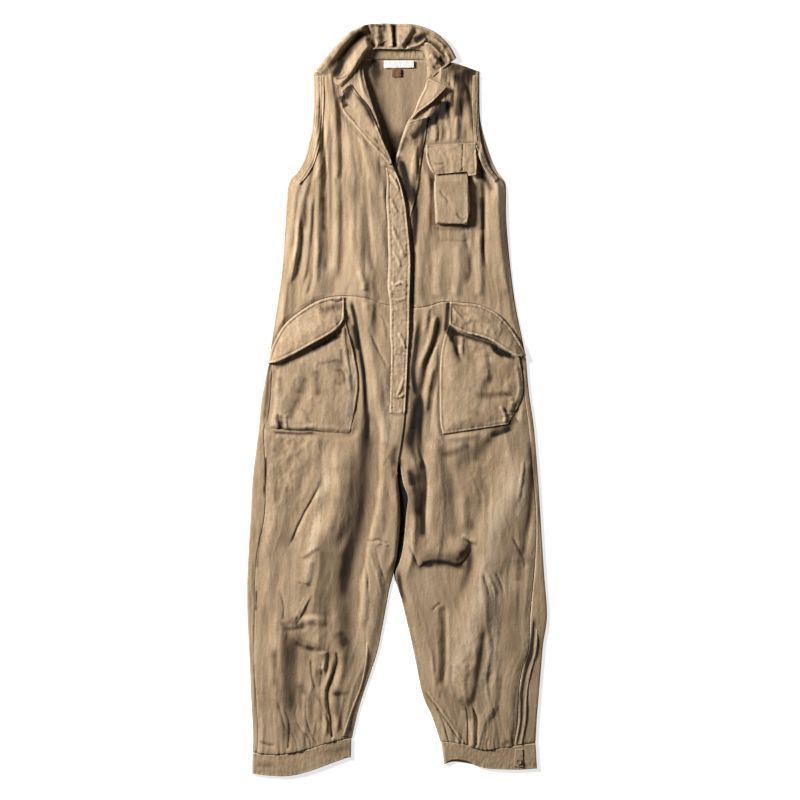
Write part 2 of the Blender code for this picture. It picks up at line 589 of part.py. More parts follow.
placket_z = FLY_LIFT + WALL + SEAM
add_patch("fly_placket", level(placket_z), 2, 14)
add_patch("under_placket", on_front("left", LAY), 3, 14, wall=THIN)
add_patch("front_facing_right", on_front("right", LAY), 2, 10, wall=THIN)
add_patch("lapel_left", on_front("left", LAY), 3, 6, wall=THIN)
add_patch("chest_pocket", pocket_height, 6, 6)
add_patch("chest_flap", level(FLAP_LIFT, FLAP_CROWN), 6, 4)
for half in ("right", "left"):
    add_patch(f"hip_pocket_{half}", pocket_height, 6, 8)
    add_patch(f"hip_flap_{half}", level(FLAP_LIFT, FLAP_CROWN), 4, 10)
    add_patch(f"vent_placket_{half}", level(PILE + SEAM), 1, 10, wall=THIN)
add_armhole_binding("right", LINES["side_right"], BINDING_RIGHT)
add_armhole_binding("left", LINES["side_left"], BINDING_LEFT)
add_patch("neck_label", level(EDGE_LIFT), 4, 2, label_cloth, 0.6)
add_patch("hanger_loop", level(EDGE_LIFT), 2, 2, tab_cloth, 1.0)
add_patch("cuff_tab_left", level(PILE + SEAM), 2, 4, wall=THIN)
add_cuff_button()
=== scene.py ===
# %% [markdown]
# # A sleeveless jumpsuit in washed cotton twill, laid flat
# The garment lies on its back on a table: the back panels touch the table, the fronts lie on them, and the
# pockets, plackets and collar lie on the fronts. A cloth that lies flat is a height above the table for each
# place on it, so every panel here is a fine grid fitted inside the outline of its cut, and its folds are
# written as short rows in tables: a line, a width to each side and a height. Rows with no height are bands of
# painted shade, those with a negative amount bands of painted light, and some folds have their bottoms
# painted darker as painted shade. Sizes are in millimetres until a mesh is made, +X is the wearer's left, +Y
# the collar end and +Z up.

# %% Load the frame
import math

import bmesh
import bpy
import numpy as np
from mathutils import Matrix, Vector


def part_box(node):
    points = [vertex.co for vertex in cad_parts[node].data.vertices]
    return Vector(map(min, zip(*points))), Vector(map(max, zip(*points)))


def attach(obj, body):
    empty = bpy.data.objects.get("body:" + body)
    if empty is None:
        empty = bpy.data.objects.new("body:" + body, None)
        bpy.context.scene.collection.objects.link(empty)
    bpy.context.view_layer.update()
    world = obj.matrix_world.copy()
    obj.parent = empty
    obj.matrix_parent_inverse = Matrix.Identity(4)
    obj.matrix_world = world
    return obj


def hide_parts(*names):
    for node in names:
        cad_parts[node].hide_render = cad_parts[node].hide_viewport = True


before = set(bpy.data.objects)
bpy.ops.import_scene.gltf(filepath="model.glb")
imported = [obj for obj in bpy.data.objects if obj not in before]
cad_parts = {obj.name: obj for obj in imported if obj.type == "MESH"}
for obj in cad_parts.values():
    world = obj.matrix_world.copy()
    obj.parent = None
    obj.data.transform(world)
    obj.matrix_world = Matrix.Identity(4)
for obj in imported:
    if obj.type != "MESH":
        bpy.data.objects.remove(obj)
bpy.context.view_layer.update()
MM = 0.001

# %% [markdown]
# ## Lines
# A pattern cutter draws with smooth lines through a few marked points. The same is done here: a table gives
# the points as "x,y x,y", a Catmull-Rom curve runs through them, and two questions can be asked of it: where
# is the place at a share of its length, and how far is a place from it, on which side.


# %% Smooth lines through table points
def marks(text):
    """The points of a line that is written as in a drawing: x,y x,y and so on."""
    return [tuple(float(number) for number in pair.split(",")) for pair in text.split()]


def curve(points, steps=10):
    """The smooth line through the points, with the length run at each of its places."""
    p = np.array(points, float)
    guides = np.vstack([2 * p[0] - p[1], p, 2 * p[-1] - p[-2]])
    t = (np.arange(steps) / steps)[:, None]
    spans = []
    for a, b, c, d in zip(guides, guides[1:], guides[2:], guides[3:]):
        bend = (2 * a - 5 * b + 4 * c - d) * t**2 + (3 * b - a - 3 * c + d) * t**3
        spans.append((2 * b + (c - a) * t + bend) / 2)
    fine = np.vstack([*spans, p[-1:]])
    return fine, np.concatenate([[0], np.cumsum(np.linalg.norm(np.diff(fine, axis=0), axis=1))])


def along(points, share):
    """The places at these shares of the line's length."""
    fine, run = curve(points)
    return np.stack([np.interp(share, run / run[-1], fine[:, k]) for k in range(fine.shape[1])], axis=-1)


def nearest(points, x, y):
    """Distance from each place to the line, the share of the line there, and the side: 1 is its left."""
    fine, run = curve(points, 6)
    start, step = fine[:-1], np.diff(fine, axis=0)
    size = np.maximum((step**2).sum(1), 1e-9)
    px, py = x[:, None] - start[:, 0], y[:, None] - start[:, 1]
    t = np.clip((px * step[:, 0] + py * step[:, 1]) / size, 0, 1)
    dx, dy = px - t * step[:, 0], py - t * step[:, 1]
    square = dx * dx + dy * dy
    k = square.argmin(1)
    row = np.arange(len(x))
    side = np.sign(step[k, 0] * dy[row, k] - step[k, 1] * dx[row, k])
    return np.sqrt(square[row, k]), (run[k] + t[row, k] * np.sqrt(size[k])) / run[-1], side


def ease(x):
    """0 below 0, 1 above 1 and a smooth S between."""
    t = np.clip(x, 0, 1)
    return t * t * (3 - 2 * t)


def bell(distance, wide):
    """1 at no distance, dying out smoothly on both sides."""
    return np.exp(-((distance / wide) ** 2))


def inside(points, x, y):
    """True where a place is inside the closed outline."""
    within = np.zeros(x.shape, bool)
    for (x0, y0), (x1, y1) in zip(points, [*points[1:], points[0]]):
        if y0 != y1:
            within ^= ((y0 > y) != (y1 > y)) & (x < x0 + (y - y0) * (x1 - x0) / (y1 - y0))
    return within


# %% [markdown]
# ## Crumpled cloth
# Washed cotton is never smooth between its folds. Two kinds of noise give that. Gradient noise is soft, and
# moves things about. The squared distance to the nearest of some scattered points makes shallow bowls that
# meet in crisp crests, which is how creased cloth breaks: stretched along the grain it gives long creases,
# and left round it gives crumples.


# %% Noise for the small creases
def noise(x, y, seed):
    """Smooth gradient noise from about -1 to 1, one cell per unit."""
    xi, yi = np.floor(x).astype(np.int64), np.floor(y).astype(np.int64)
    xf, yf = x - xi, y - yi

    def corner(i, j):
        """What one corner of the cell adds: its own random slope."""
        n = (xi + i) * 374761393 + (yi + j) * 668265263 + seed * 974711
        n = (n ^ (n >> 13)) * 1274126177
        angle = ((n ^ (n >> 16)) & 0xFFFF) * (2 * math.pi / 65536)
        return np.cos(angle) * (xf - i) + np.sin(angle) * (yf - j)

    u, v = (t * t * t * (t * (6 * t - 15) + 10) for t in (xf, yf))
    low = corner(0, 0) * (1 - u) + corner(1, 0) * u
    high = corner(0, 1) * (1 - u) + corner(1, 1) * u
    return 1.5 * (low * (1 - v) + high * v)


def facets(x, y, seed):
    """Shallow bowls that meet in crisp crests, as creased cloth does, from 0 to about 1."""
    xi, yi = np.floor(x).astype(np.int64), np.floor(y).astype(np.int64)
    best = np.full(x.shape, 9.0)
    for i in (-1, 0, 1):
        for j in (-1, 0, 1):
            n = (xi + i) * 374761393 + (yi + j) * 668265263 + seed * 974711
            n = (n ^ (n >> 13)) * 1274126177
            n = n ^ (n >> 16)
            cx, cy = xi + i + (n & 0x3FF) / 1024, yi + j + ((n >> 10) & 0x3FF) / 1024
            best = np.minimum(best, (cx - x) ** 2 + (cy - y) ** 2)
    return best


def warped(x, y):
    """The places moved a little, so that no fold runs quite straight."""
    dx = 3.0 * noise(x / 80, y / 130, 11) + 0.6 * noise(x / 24, y / 40, 12)
    dy = 5.0 * noise(x / 80, y / 90, 13) + 1.0 * noise(x / 23, y / 30, 14)
    return x + dx, y + dy


# %% [markdown]
# ## Folds
# A fold is a ridge along a line. What makes it look like cloth is that its two flanks differ: the cloth leans
# over, so one flank is long and gentle and the other short and steep. A row gives the line from its upper to
# its lower end, the width of the flank to the west and to the east, and the height. A negative height is a
# trough. Rows that run across the garment start at the west end, and their two widths are south and north.
# The rest is given only where it is not the usual: how sharp the crest is, how soon the ends die out, and
# how dark the bottom of a trough is painted, a painted shade. A band of painted shade is a row with no
# height; with a negative amount it is a band of painted light.


# %% Fold rows
def fold(line, west, east, high, crest=2.0, ends=0.25, dark=0.0):
    """One row of a fold table. crest is 2 for a round top and near 1 for a sharp one. ends is the share of
    the line over which it dies out, with two numbers where its start and its end differ."""
    start, end = np.broadcast_to(ends, 2)
    return dict(line=marks(line), west=west, east=east, high=high, crest=crest, start=start, end=end,
                dark=dark)


def shade(line, west, east, dark, ends=0.2, crest=1.8):
    """A soft band of painted shade, with no height of its own. A negative amount paints light instead."""
    return fold(line, west, east, 0.0, crest, ends, dark)


def folds_both(rows, x, y):
    """The sum of the folds' heights at each place, and the painted shade in their bottoms and in the bands.
    """
    wx, wy = warped(x, y)
    total, dark = np.zeros(x.shape), np.zeros(x.shape)
    for k, row in enumerate(rows):
        line = np.array(row["line"], float)
        reach = max(row["west"], row["east"]) + 8
        low, high = line.min(0) - reach, line.max(0) + reach
        near = (wx > low[0]) & (wx < high[0]) & (wy > low[1]) & (wy < high[1])
        if not near.any():
            continue
        d, s, side = nearest(row["line"], wx[near], wy[near])
        t = np.clip(d / np.where(side < 0, row["west"], row["east"]), 0, 1)
        shape = (1 - t ** row["crest"]) ** 2
        taper = ease(s / row["start"]) * ease((1 - s) / row["end"])
        uneven = 1 + 0.28 * noise(s * 5.3, s * 0 + k * 3.1, 17)
        total[near] += row["high"] * shape * taper * uneven
        if row["dark"]:
            bottom = bell(d, 2.0) if row["high"] else shape
            dark[near] += row["dark"] * bottom * taper * uneven
    return total, dark


def folds_height(rows, x, y):
    """The heights alone."""
    return folds_both(rows, x, y)[0]


# %% [markdown]
# ## The cut
# These are the edges of the pattern pieces. Two pieces that are sewn together share a line, so a seam can't
# open between them. "right" and "left" are the wearer's.

# %% Edges of the pattern pieces
EDGES = {
    "waist_right": "-256,72 -247,111 -222,154 -176,189 -142,204 -104,208 -60,203 -21,190 24,186",
    "waist_left": "-14,184 26,184 58,186 92,196 133,194 165,190 198,174 220,153 237,129 256,88",
    "side_right": "-256,72 -243,159 -229,255 -222,351 -214,428 -194,455 -179,482 -171,512 -165,545 "
                  "-162,600 -163,656",
    "side_left": "256,88 236,183 226,255 219,327 216,375 214,428 196,449 182,470 173,495 167,520 164,545 "
                 "162,600 163,657",
    "back_side_right": "-258,70 -245,159 -231,255 -224,351 -218,430 -200,455 -186,480 -177,512 -170,545 "
                       "-167,600 -168,656",
    "back_side_left": "258,86 238,183 228,255 221,327 218,375 217,430 204,450 193,471 184,495 176,520 "
                      "170,543 166,567 165,600 165,657",
    "fly_right": "24,186 26,240 27,290 24,330 20,372 13,411 6,436 -8,468 -24,508 -37,553 -51,594 -61,626 "
                 "-66,650 -68,679",
    "fly_left": "-14,184 -16,300 -14,420 -6,470 2,498 8,519 15,540 22,557 34,574 43,600 54,622 60,646 "
                "60,679",
    "shoulder_right": "-163,656 -120,668 -68,679",
    "shoulder_left": "60,679 114,673 163,657",
    "back_neck": "-168,656 -110,671 -66,680 -6,681 54,680 110,673 165,657",
    "back_waist": "-258,70 -120,98 0,121 120,107 258,86",
    "seam_right": "-247,111 -254,-15 -265,-60 -262,-150 -264,-231 -278,-300 -284,-372 -284,-440 -285,-520 "
                  "-281,-590 -277,-666 -279,-705",
    "seam_left": "246,109 254,15 263,-57 272,-153 278,-240 275,-330 266,-430 263,-497 250,-540 243,-585 "
                 "241,-642 233,-691",
    "outline_right": "-258,69 -271,0 -277,-60 -288,-150 -293,-231 -297,-300 -300,-372 -299,-440 -295,-520 "
                     "-292,-590 -288,-666 -289,-704",
    "outline_left": "258,85 264,15 274,-57 282,-153 288,-249 294,-345 300,-430 292,-490 288,-537 284,-585 "
                    "280,-633 277,-685",
    "inner_right": "24,186 20,80 16,-26 10,-80 2,-130 1,-168 4,-194 5,-244 0,-300 -7,-346 -15,-376 "
                   "-21,-408 -30,-457 -42,-512 -74,-608 -90,-675",
    "inner_left": "-14,184 -15,80 -12,-26 -4,-90 6,-130 13,-168 22,-194 19,-226 13,-290 6,-322 -3,-348 "
                  "5,-384 12,-408 31,-488 50,-584 70,-632 87,-682",
    "back_inner_right": "-1,119 -2,-40 -6,-130 -9,-168 -8,-194 -9,-244 -11,-300 -14,-346 -24,-416 -43,-512 "
                        "-75,-608 -91,-675",
    "back_inner_left": "1,119 0,-40 -4,-130 -7,-168 -6,-194 -7,-244 -9,-300 -6,-350 4,-384 11,-408 30,-488 "
                       "51,-584 71,-632 88,-682",
    "hem_right": "-279,-705 -250,-708 -218,-706 -176,-697 -128,-682 -90,-675",
    "hem_left": "87,-682 107,-683 136,-688 168,-698 192,-698 233,-691",
    "cuff_top_right": "-289,-706 -250,-709 -218,-707 -176,-698 -128,-683 -91,-676",
    "cuff_end_right": "-290,-746 -261,-750 -218,-751 -176,-742 -116,-721 -92,-714",
    "cuff_top_left": "88,-683 107,-684 136,-689 168,-699 192,-699 233,-692 277,-686",
    "cuff_end_left": "94,-727 112,-723 144,-727 180,-736 228,-738 253,-738 280,-736",
}
LINES = {name: marks(text) for name, text in EDGES.items()}
CUTS = {
    "fly_placket": dict(
        left="-14,-26 -13,30 -11,96 -13,130 -14,195 -18,228 -16,278 -17,320 -18,359 -20,386 -20,411 "
             "-19,440 -22,464",
        right="16,-26 19,30 22,96 24,130 25,195 26,228 27,278 24,320 20,359 17,386 12,411 5,436 -3,455"),
    "under_placket": dict(
        left="-12,-22 -13,100 -14,300 -12,420 -4,470 4,498 10,519 17,540 24,556",
        right="13,-22 17,60 20,195 22,290 25,350 36,400 44,440 50,490 57,525 60,548 62,566"),
    "front_facing_right": dict(
        left="-15,469 -31,489 -53,511 -70,531 -88,552 -106,574 -113,594 -109,608 -112,618",
        right="-10,472 -18,493 -28,514 -38,540 -48,566 -59,588 -71,602 -81,614 -92,630"),
    "lapel_left": dict(
        left="27,562 35,575 45,600 56,622 63,641",
        right="31,562 42,574 70,594 86,610 99,624"),
    "chest_pocket": dict(
        left="78,352 76,390 75,418 77,470",
        right="139,351 144,380 143,410 139,470"),
    "chest_flap": dict(
        left="74,440 65,462 59,484 58,509",
        right="158,448 159,470 158,490 157,513"),
    "hip_pocket_right": dict(
        left="-261,-58 -252,-15 -247,40 -240,84 -234,98",
        right="-95,-70 -83,-10 -78,34 -84,80 -106,170"),
    "hip_pocket_left": dict(
        left="92,-68 87,-40 86,25 88,86 98,134 118,178",
        right="221,-48 242,-12 251,22 248,60 240,104"),
    "hip_flap_right": dict(
        left="-257,73 -247,109 -222,152 -176,187 -142,202 -106,206",
        right="-240,76 -211,89 -176,108 -142,127 -119,143 -106,162"),
    "hip_flap_left": dict(
        left="106,196 133,193 165,189 198,173 220,152 237,128 257,90",
        right="105,150 118,142 140,133 165,127 187,119 209,105 240,86"),
    "vent_placket_right": dict(
        left="-109,-671 -92,-620 -73,-570 -63,-521 -60,-468",
        right="-96,-671 -82,-620 -62,-570 -52,-521 -49,-470"),
    "vent_placket_left": dict(
        left="238,-687 246,-642 248,-585 255,-542 268,-500 271,-440",
        right="249,-687 257,-642 260,-588 267,-545 278,-502 282,-440"),
    "neck_label": dict(
        left="-26,663 -26,678",
        right="34,664 34,678"),
    "hanger_loop": dict(
        left="-11,646 -11,662",
        right="8,646 8,662"),
    "cuff_tab_left": dict(
        left="233,-731 236,-697",
        right="252,-733 251,-697"),
}
PATCHES = {name: {side: marks(text) for side, text in cut.items()} for name, cut in CUTS.items()}
COVERS = ("fly_placket", "chest_pocket", "chest_flap", "hip_pocket_right",
          "hip_pocket_left", "hip_flap_right", "hip_flap_left", "lapel_left", "front_facing_right")


def outline(name):
    """The closed outline of a patch."""
    cut = PATCHES[name]
    return [*cut["left"], *cut["right"][::-1], cut["left"][0]]


print(len(LINES), "edge lines and", len(PATCHES), "patches")

# %% [markdown]
# ## The pile
# From the table up there is the back, then the fronts, then what is sewn on the fronts. The right front
# laps over the left one at the fly. Along the sides the front rolls down onto the back, because there the
# two are sewn together. In the open the front stands a few millimetres off the back, on a bed of air.

# %% Heights of the pile
# the walls of the cloth, the gap in a seam and the lift of a patch
WALL, THIN = 1.5, 1.2
SEAM, LAY = 0.3, 0.6
# the underside of a front at its sewn edge, in the open, and where the right one laps over at the fly
EDGE_LIFT = WALL + SEAM
FRONT_LIFT, FLY_LIFT = 4.2, 6.4
# the top of the pile, and the radius round which a cuff or a back leg turns up
PILE = FRONT_LIFT + WALL
FOLD_RADIUS = PILE / 2
# how far from an edge a front takes to rise, the gap at the waist seam, and the air in the folds
EDGE_ROLL, SIDE_RISE = 16.0, 40.0
WAIST_GAP = 0.4
LOFT = 2.6
# where the fly begins, how soon the left front is free of it, and how far the edge of the V stands up
FLY_FOOT = {"right": -175.0, "left": -130.0}
FLY_REACH = 14.0
V_RISE = 9.0
# the waist seam at the fly, the foot of the V, the neck seam, and half the width of the neck
WAIST, V_FOOT, NECK_SEAM, NECK_WIDE = 186, 420, 681, 75
# the shares of a side between which its armhole runs, and the widths of the bindings
UNDERARM, ARM_END = 0.62, 0.985
BINDING = {"right": 16.0, "left": 11.0}


def off(points, x, y, reach):
    """The distance to a line, worked out only for the places nearer than the reach."""
    line = np.array(points, float)
    low, high = line.min(0) - reach, line.max(0) + reach
    d = np.full(x.shape, float(reach))
    near = (x > low[0]) & (x < high[0]) & (y > low[1]) & (y < high[1])
    if near.any():
        d[near] = np.minimum(nearest(points, x[near], y[near])[0], reach)
    return d


def seam_reach(side, y):
    """How far from its inner seam a leg has risen. Where the legs lie close, the right one stands up."""
    close = ease((y + 350) / 40) * ease((-130 - y) / 40) * (side == "right")
    return 1 - 0.8 * close


def front_lie(side, x, y):
    """The underside of a front half before it is folded."""
    full = FRONT_LIFT - EDGE_LIFT
    at_side = ease(off(LINES[f"side_{side}"], x, y, EDGE_ROLL) / EDGE_ROLL)
    in_bodice = ease((y - SIDE_RISE) / SIDE_RISE)
    at_inseam = ease(off(LINES[f"inner_{side}"][4:], x, y, EDGE_ROLL) / EDGE_ROLL / seam_reach(side, y))
    at_fly = ease((y - FLY_FOOT[side]) / SIDE_RISE)
    roll = (1 - in_bodice * (1 - at_side)) * (at_inseam + (1 - at_inseam) * at_fly)
    z = EDGE_LIFT + full * roll
    if side == "right":
        beside_neck = 1 - ease(off(LINES["fly_right"], x, y, 60) / 60)
        at_neck = ease((y - 425) / 90) * (1 - 0.5 * ease((y - 620) / 40))
        return z + (FLY_LIFT - FRONT_LIFT) * ease((x + 60) / 30) * at_fly + V_RISE * beside_neck * at_neck
    return np.minimum(z, EDGE_LIFT + full * (1 - under_fly(x, y)))


def under_fly(x, y):
    """1 where the left front lies under the fly, and 0 a little beside it."""
    fly = curve(LINES["fly_right"])[0]
    edge = np.where(y > WAIST, np.interp(y, fly[:, 1], fly[:, 0]),
                    np.interp(y, [FLY_FOOT["left"], WAIST], [3, 24]))
    pressed = ease((y - FLY_FOOT["left"]) / SIDE_RISE) * (0.4 + 0.6 * ease((y - 80) / 90))
    return (1 - ease((x - edge - 4) / FLY_REACH)) * pressed


# how near a line the cloth starts to settle, and how much of a fold is left on it
CALM = dict(side=(16, 0.4), waist=(6, 0.75), seam=(14, 0.35), inner=(20, 0.3), fly=(8, 0.3),
            hem=(6, 0.9), shoulder=(20, 0.3))


def freedom(side, x, y):
    """1 where the front may fold freely, and less beside a seam and under a patch."""
    free = np.ones(x.shape)
    for name, (margin, least) in CALM.items():
        d = off(LINES[f"{name}_{side}"], x, y, margin) / (seam_reach(side, y) if name == "inner" else 1)
        free = np.minimum(free, least + (1 - least) * ease(d / margin))
    for name in COVERS:
        edge = outline(name)
        d = np.where(inside(edge, x, y), 0, off(edge, x, y, 12))
        free = np.minimum(free, 0.1 + 0.9 * ease(d / 12))
    if side == "left":
        free *= 1 - 0.85 * under_fly(x, y)
    return free


# %% [markdown]
# ## The folds of the fronts
# The tables follow the garment from the shoulders down. The bodice hangs in long folds from the shoulders,
# a few of them pressed sharp. The hips are pleated beside the pockets, the legs carry one broad diagonal
# fold each, with crumples at the knees, and the hems are gathered into the cuffs. Between the folds the
# tables hold bands of painted shade and painted light: painted shade in the pleats and hollows, and painted
# shadows under the collar, the lapel and the pockets.

# %% Folds of the right front bodice and the left one
BODICE_FOLDS = [
    # beside the neck on the wearer's left: the shadow under the lapel and down the front edge
    fold("52,566 46,540 40,508 34,482", 10, 12, -4, 1.8, (0.05, 0.3)),
    shade("110,598 94,582 74,564 50,546 26,520", 15, 14, 1.5, 0.1),
    shade("94,596 92,578 92,556", 10, 9, 1.3, (0.1, 0.2)),
    shade("22,526 12,508 4,492", 10, 10, 0.9, (0.1, 0.3)),
    shade("73,574 71,548", 8, 8, 1),
    shade("54,568 52,540 50,510 46,474", 9, 9, 1.4, (0.05, 0.2)),
    fold("40,520 36,492 36,462 38,436", 12, 8, 3.4, 1.8),
    shade("0,486 14,458 24,430 31,396", 20, 14, 1.2, (0.05, 0.3)),
    shade("31,440 37,404 37,360 36,300", 14, 9, 1.4, (0.3, 0.2)),
    shade("8,480 16,450 23,420 30,386", 9, 8, 1.3, (0.1, 0.2)),
    shade("37,390 38,356 37,324", 7, 6, 1.2),
    shade("24,370 26,340 27,296", 7, 7, -0.9),
    shade("40,340 36,300 35,250 33,190", 8, 8, 0.8, (0.2, 0.02)),
    # wearer's right, from the side to the placket
    shade("-156,656 -154,610 -152,560", 14, 14, 0.7, (0.02, 0.3)),
    fold("-160,622 -162,566 -159,512 -157,462 -158,397 -160,321 -163,244 -165,212", 12, 12, 4.5, 1.6, 0.1),
    fold("-150,619 -149,566 -146,512 -143,462 -141,397 -140,321 -141,250", 12, 6, -3.2, 1.6, (0.1, 0.05)),
    shade("-132,560 -132,480 -133,400 -134,330 -134,260", 7, 6, 0.7, (0.1, 0.2)),
    shade("-145,508 -145,460 -145,400", 8, 8, -1.4),
    shade("-115,548 -114,490 -112,410", 8, 7, -0.8),
    shade("-31,480 -31,440 -34,404", 7, 7, -0.9),
    shade("-15,376 -14,350 -14,328", 8, 7, 1),
    shade("-148,414 -149,370 -148,330", 8, 8, 1.1),
    shade("-42,496 -36,464 -28,430 -22,396 -17,364 -14,334", 9, 9, 1.2, (0.2, 0.1)),
    shade("-194,336 -199,290 -207,240", 8, 8, -1.5),
    shade("-178,404 -180,370 -182,336", 7, 7, 0.8),
    shade("-28,312 -25,280 -23,244", 6, 6, -0.8),
    shade("158,512 168,474 180,440 194,414", 9, 9, 1, 0.1),
    fold("-122,612 -121,540 -121,470 -120,390 -122,300 -128,230", 15, 11, 5, 2, (0.15, 0.1)),
    fold("-90,570 -90,500 -87,420 -87,330 -92,250", 14, 22, 3.6, 1.9, 0.2),
    shade("-86,460 -86,400 -88,320", 5, 6, -0.5),
    fold("-74,430 -74,370 -72,300 -74,224", 11, 10, 3, 1.9, (0.3, 0.15)),
    fold("-66,400 -58,350 -52,300 -46,240", 9, 9, -2.4, 1.7, 0.3),
    fold("-76,560 -60,500 -46,440 -36,400", 16, 14, 3, 1.9, (0.3, 0.2)),
    shade("-55,300 -51,274 -46,252", 9, 8, 0.65, (0.2, 0.3)),
    shade("-52,242 -44,220 -36,200", 8, 7, 0.55, (0.2, 0.02)),
    fold("-74,260 -68,238 -66,214", 9, 7, 2.6, 1.7, (0.4, 0.1)),
    fold("-170,470 -178,440 -186,396 -193,350 -202,296 -214,240", 10, 9, 3, 1.6, 0.15),
    shade("-184,400 -184,370 -186,338", 6, 6, 0.5),
    fold("-166,420 -172,376 -176,330 -180,280 -190,226", 13, 7, 4, 1.8, 0.2),
    fold("-194,380 -196,330 -202,280 -214,226", 10, 6, 3.6, 1.6),
    fold("-166,350 -166,300 -168,250 -176,204", 7, 9, -3, 1.6, (0.3, 0.1)),
    # wearer's left: a fan from the collar, then long folds to the waist
    shade("102,668 128,664 158,654", 34, 16, 1.2, 0.02),
    shade("116,656 125,632 124,604 122,580 119,552", 12, 17, 1.5, (0.1, 0.2)),
    shade("140,660 142,636 140,600 136,570", 14, 14, 0.8, (0.02, 0.3)),
    shade("90,598 78,572 68,540", 20, 20, 0.9, (0.1, 0.3)),
    shade("98,628 104,614 106,600", 10, 9, -1.5),
    shade("-74,680 -80,654 -92,626", 18, 15, 0.7, (0.02, 0.1)),
    shade("-110,604 -105,592 -98,580", 12, 10, 1.4, (0.05, 0.1)),
    fold("103,640 113,606 119,570 124,545", 10, 8, -4.5, 1.7, (0.1, 0.35)),
    fold("88,618 94,586 98,560 100,530", 9, 8, 3.6, 1.7, (0.1, 0.3)),
    fold("128,640 138,600 142,560 142,525", 15, 10, 5, 1.9, (0.15, 0.3)),
    fold("72,580 74,556 76,530 74,500", 9, 8, 3.4, 1.7, (0.2, 0.3)),
    fold("66,470 64,420 62,370 66,320", 14, 8, 3.6, 1.8, 0.2),
    fold("86,312 86,270 84,230 80,204", 20, 24, 3, 2, (0.25, 0.1)),
    fold("120,320 124,280 122,240 116,206", 14, 14, 2.6, 1.8, (0.25, 0.1)),
    shade("134,346 138,316 147,286 146,250 140,226", 8, 8, 0.9, (0.1, 0.2)),
    fold("136,334 142,300 147,268 140,224", 12, 6, -3, 1.5, 0.2),
    fold("164,340 165,300 165,256 162,206", 14, 13, 3.4, 1.8, (0.15, 0.1)),
    shade("166,322 166,290 164,262", 5, 5, -0.5),
    shade("160,466 156,440 152,410", 9, 8, -0.9, 0.1),
    shade("168,408 170,374 170,338", 10, 10, 1, 0.1),
    shade("177,464 171,430 172,390 172,340 172,290 174,250", 8, 9, 1, (0.05, 0.15)),
    fold("176,440 175,400 174,350 174,300 178,260", 9, 7, -4.4, 1.5, (0.2, 0.25)),
    fold("202,440 208,400 210,350 211,300 214,250 218,204", 24, 14, 2.6, 1.8, (0.2, 0.1)),
    shade("206,438 211,380 214,330 217,270 221,212", 12, 10, -1.6, 0.05),
    shade("74,345 110,343 150,345", 6, 5, 0.8, 0.05),
    shade("164,522 164,492", 8, 9, 0.6),
    shade("86,412 72,388 74,362", 4, 4, 0.5),
]
print(len(BODICE_FOLDS), "folds on the bodice")

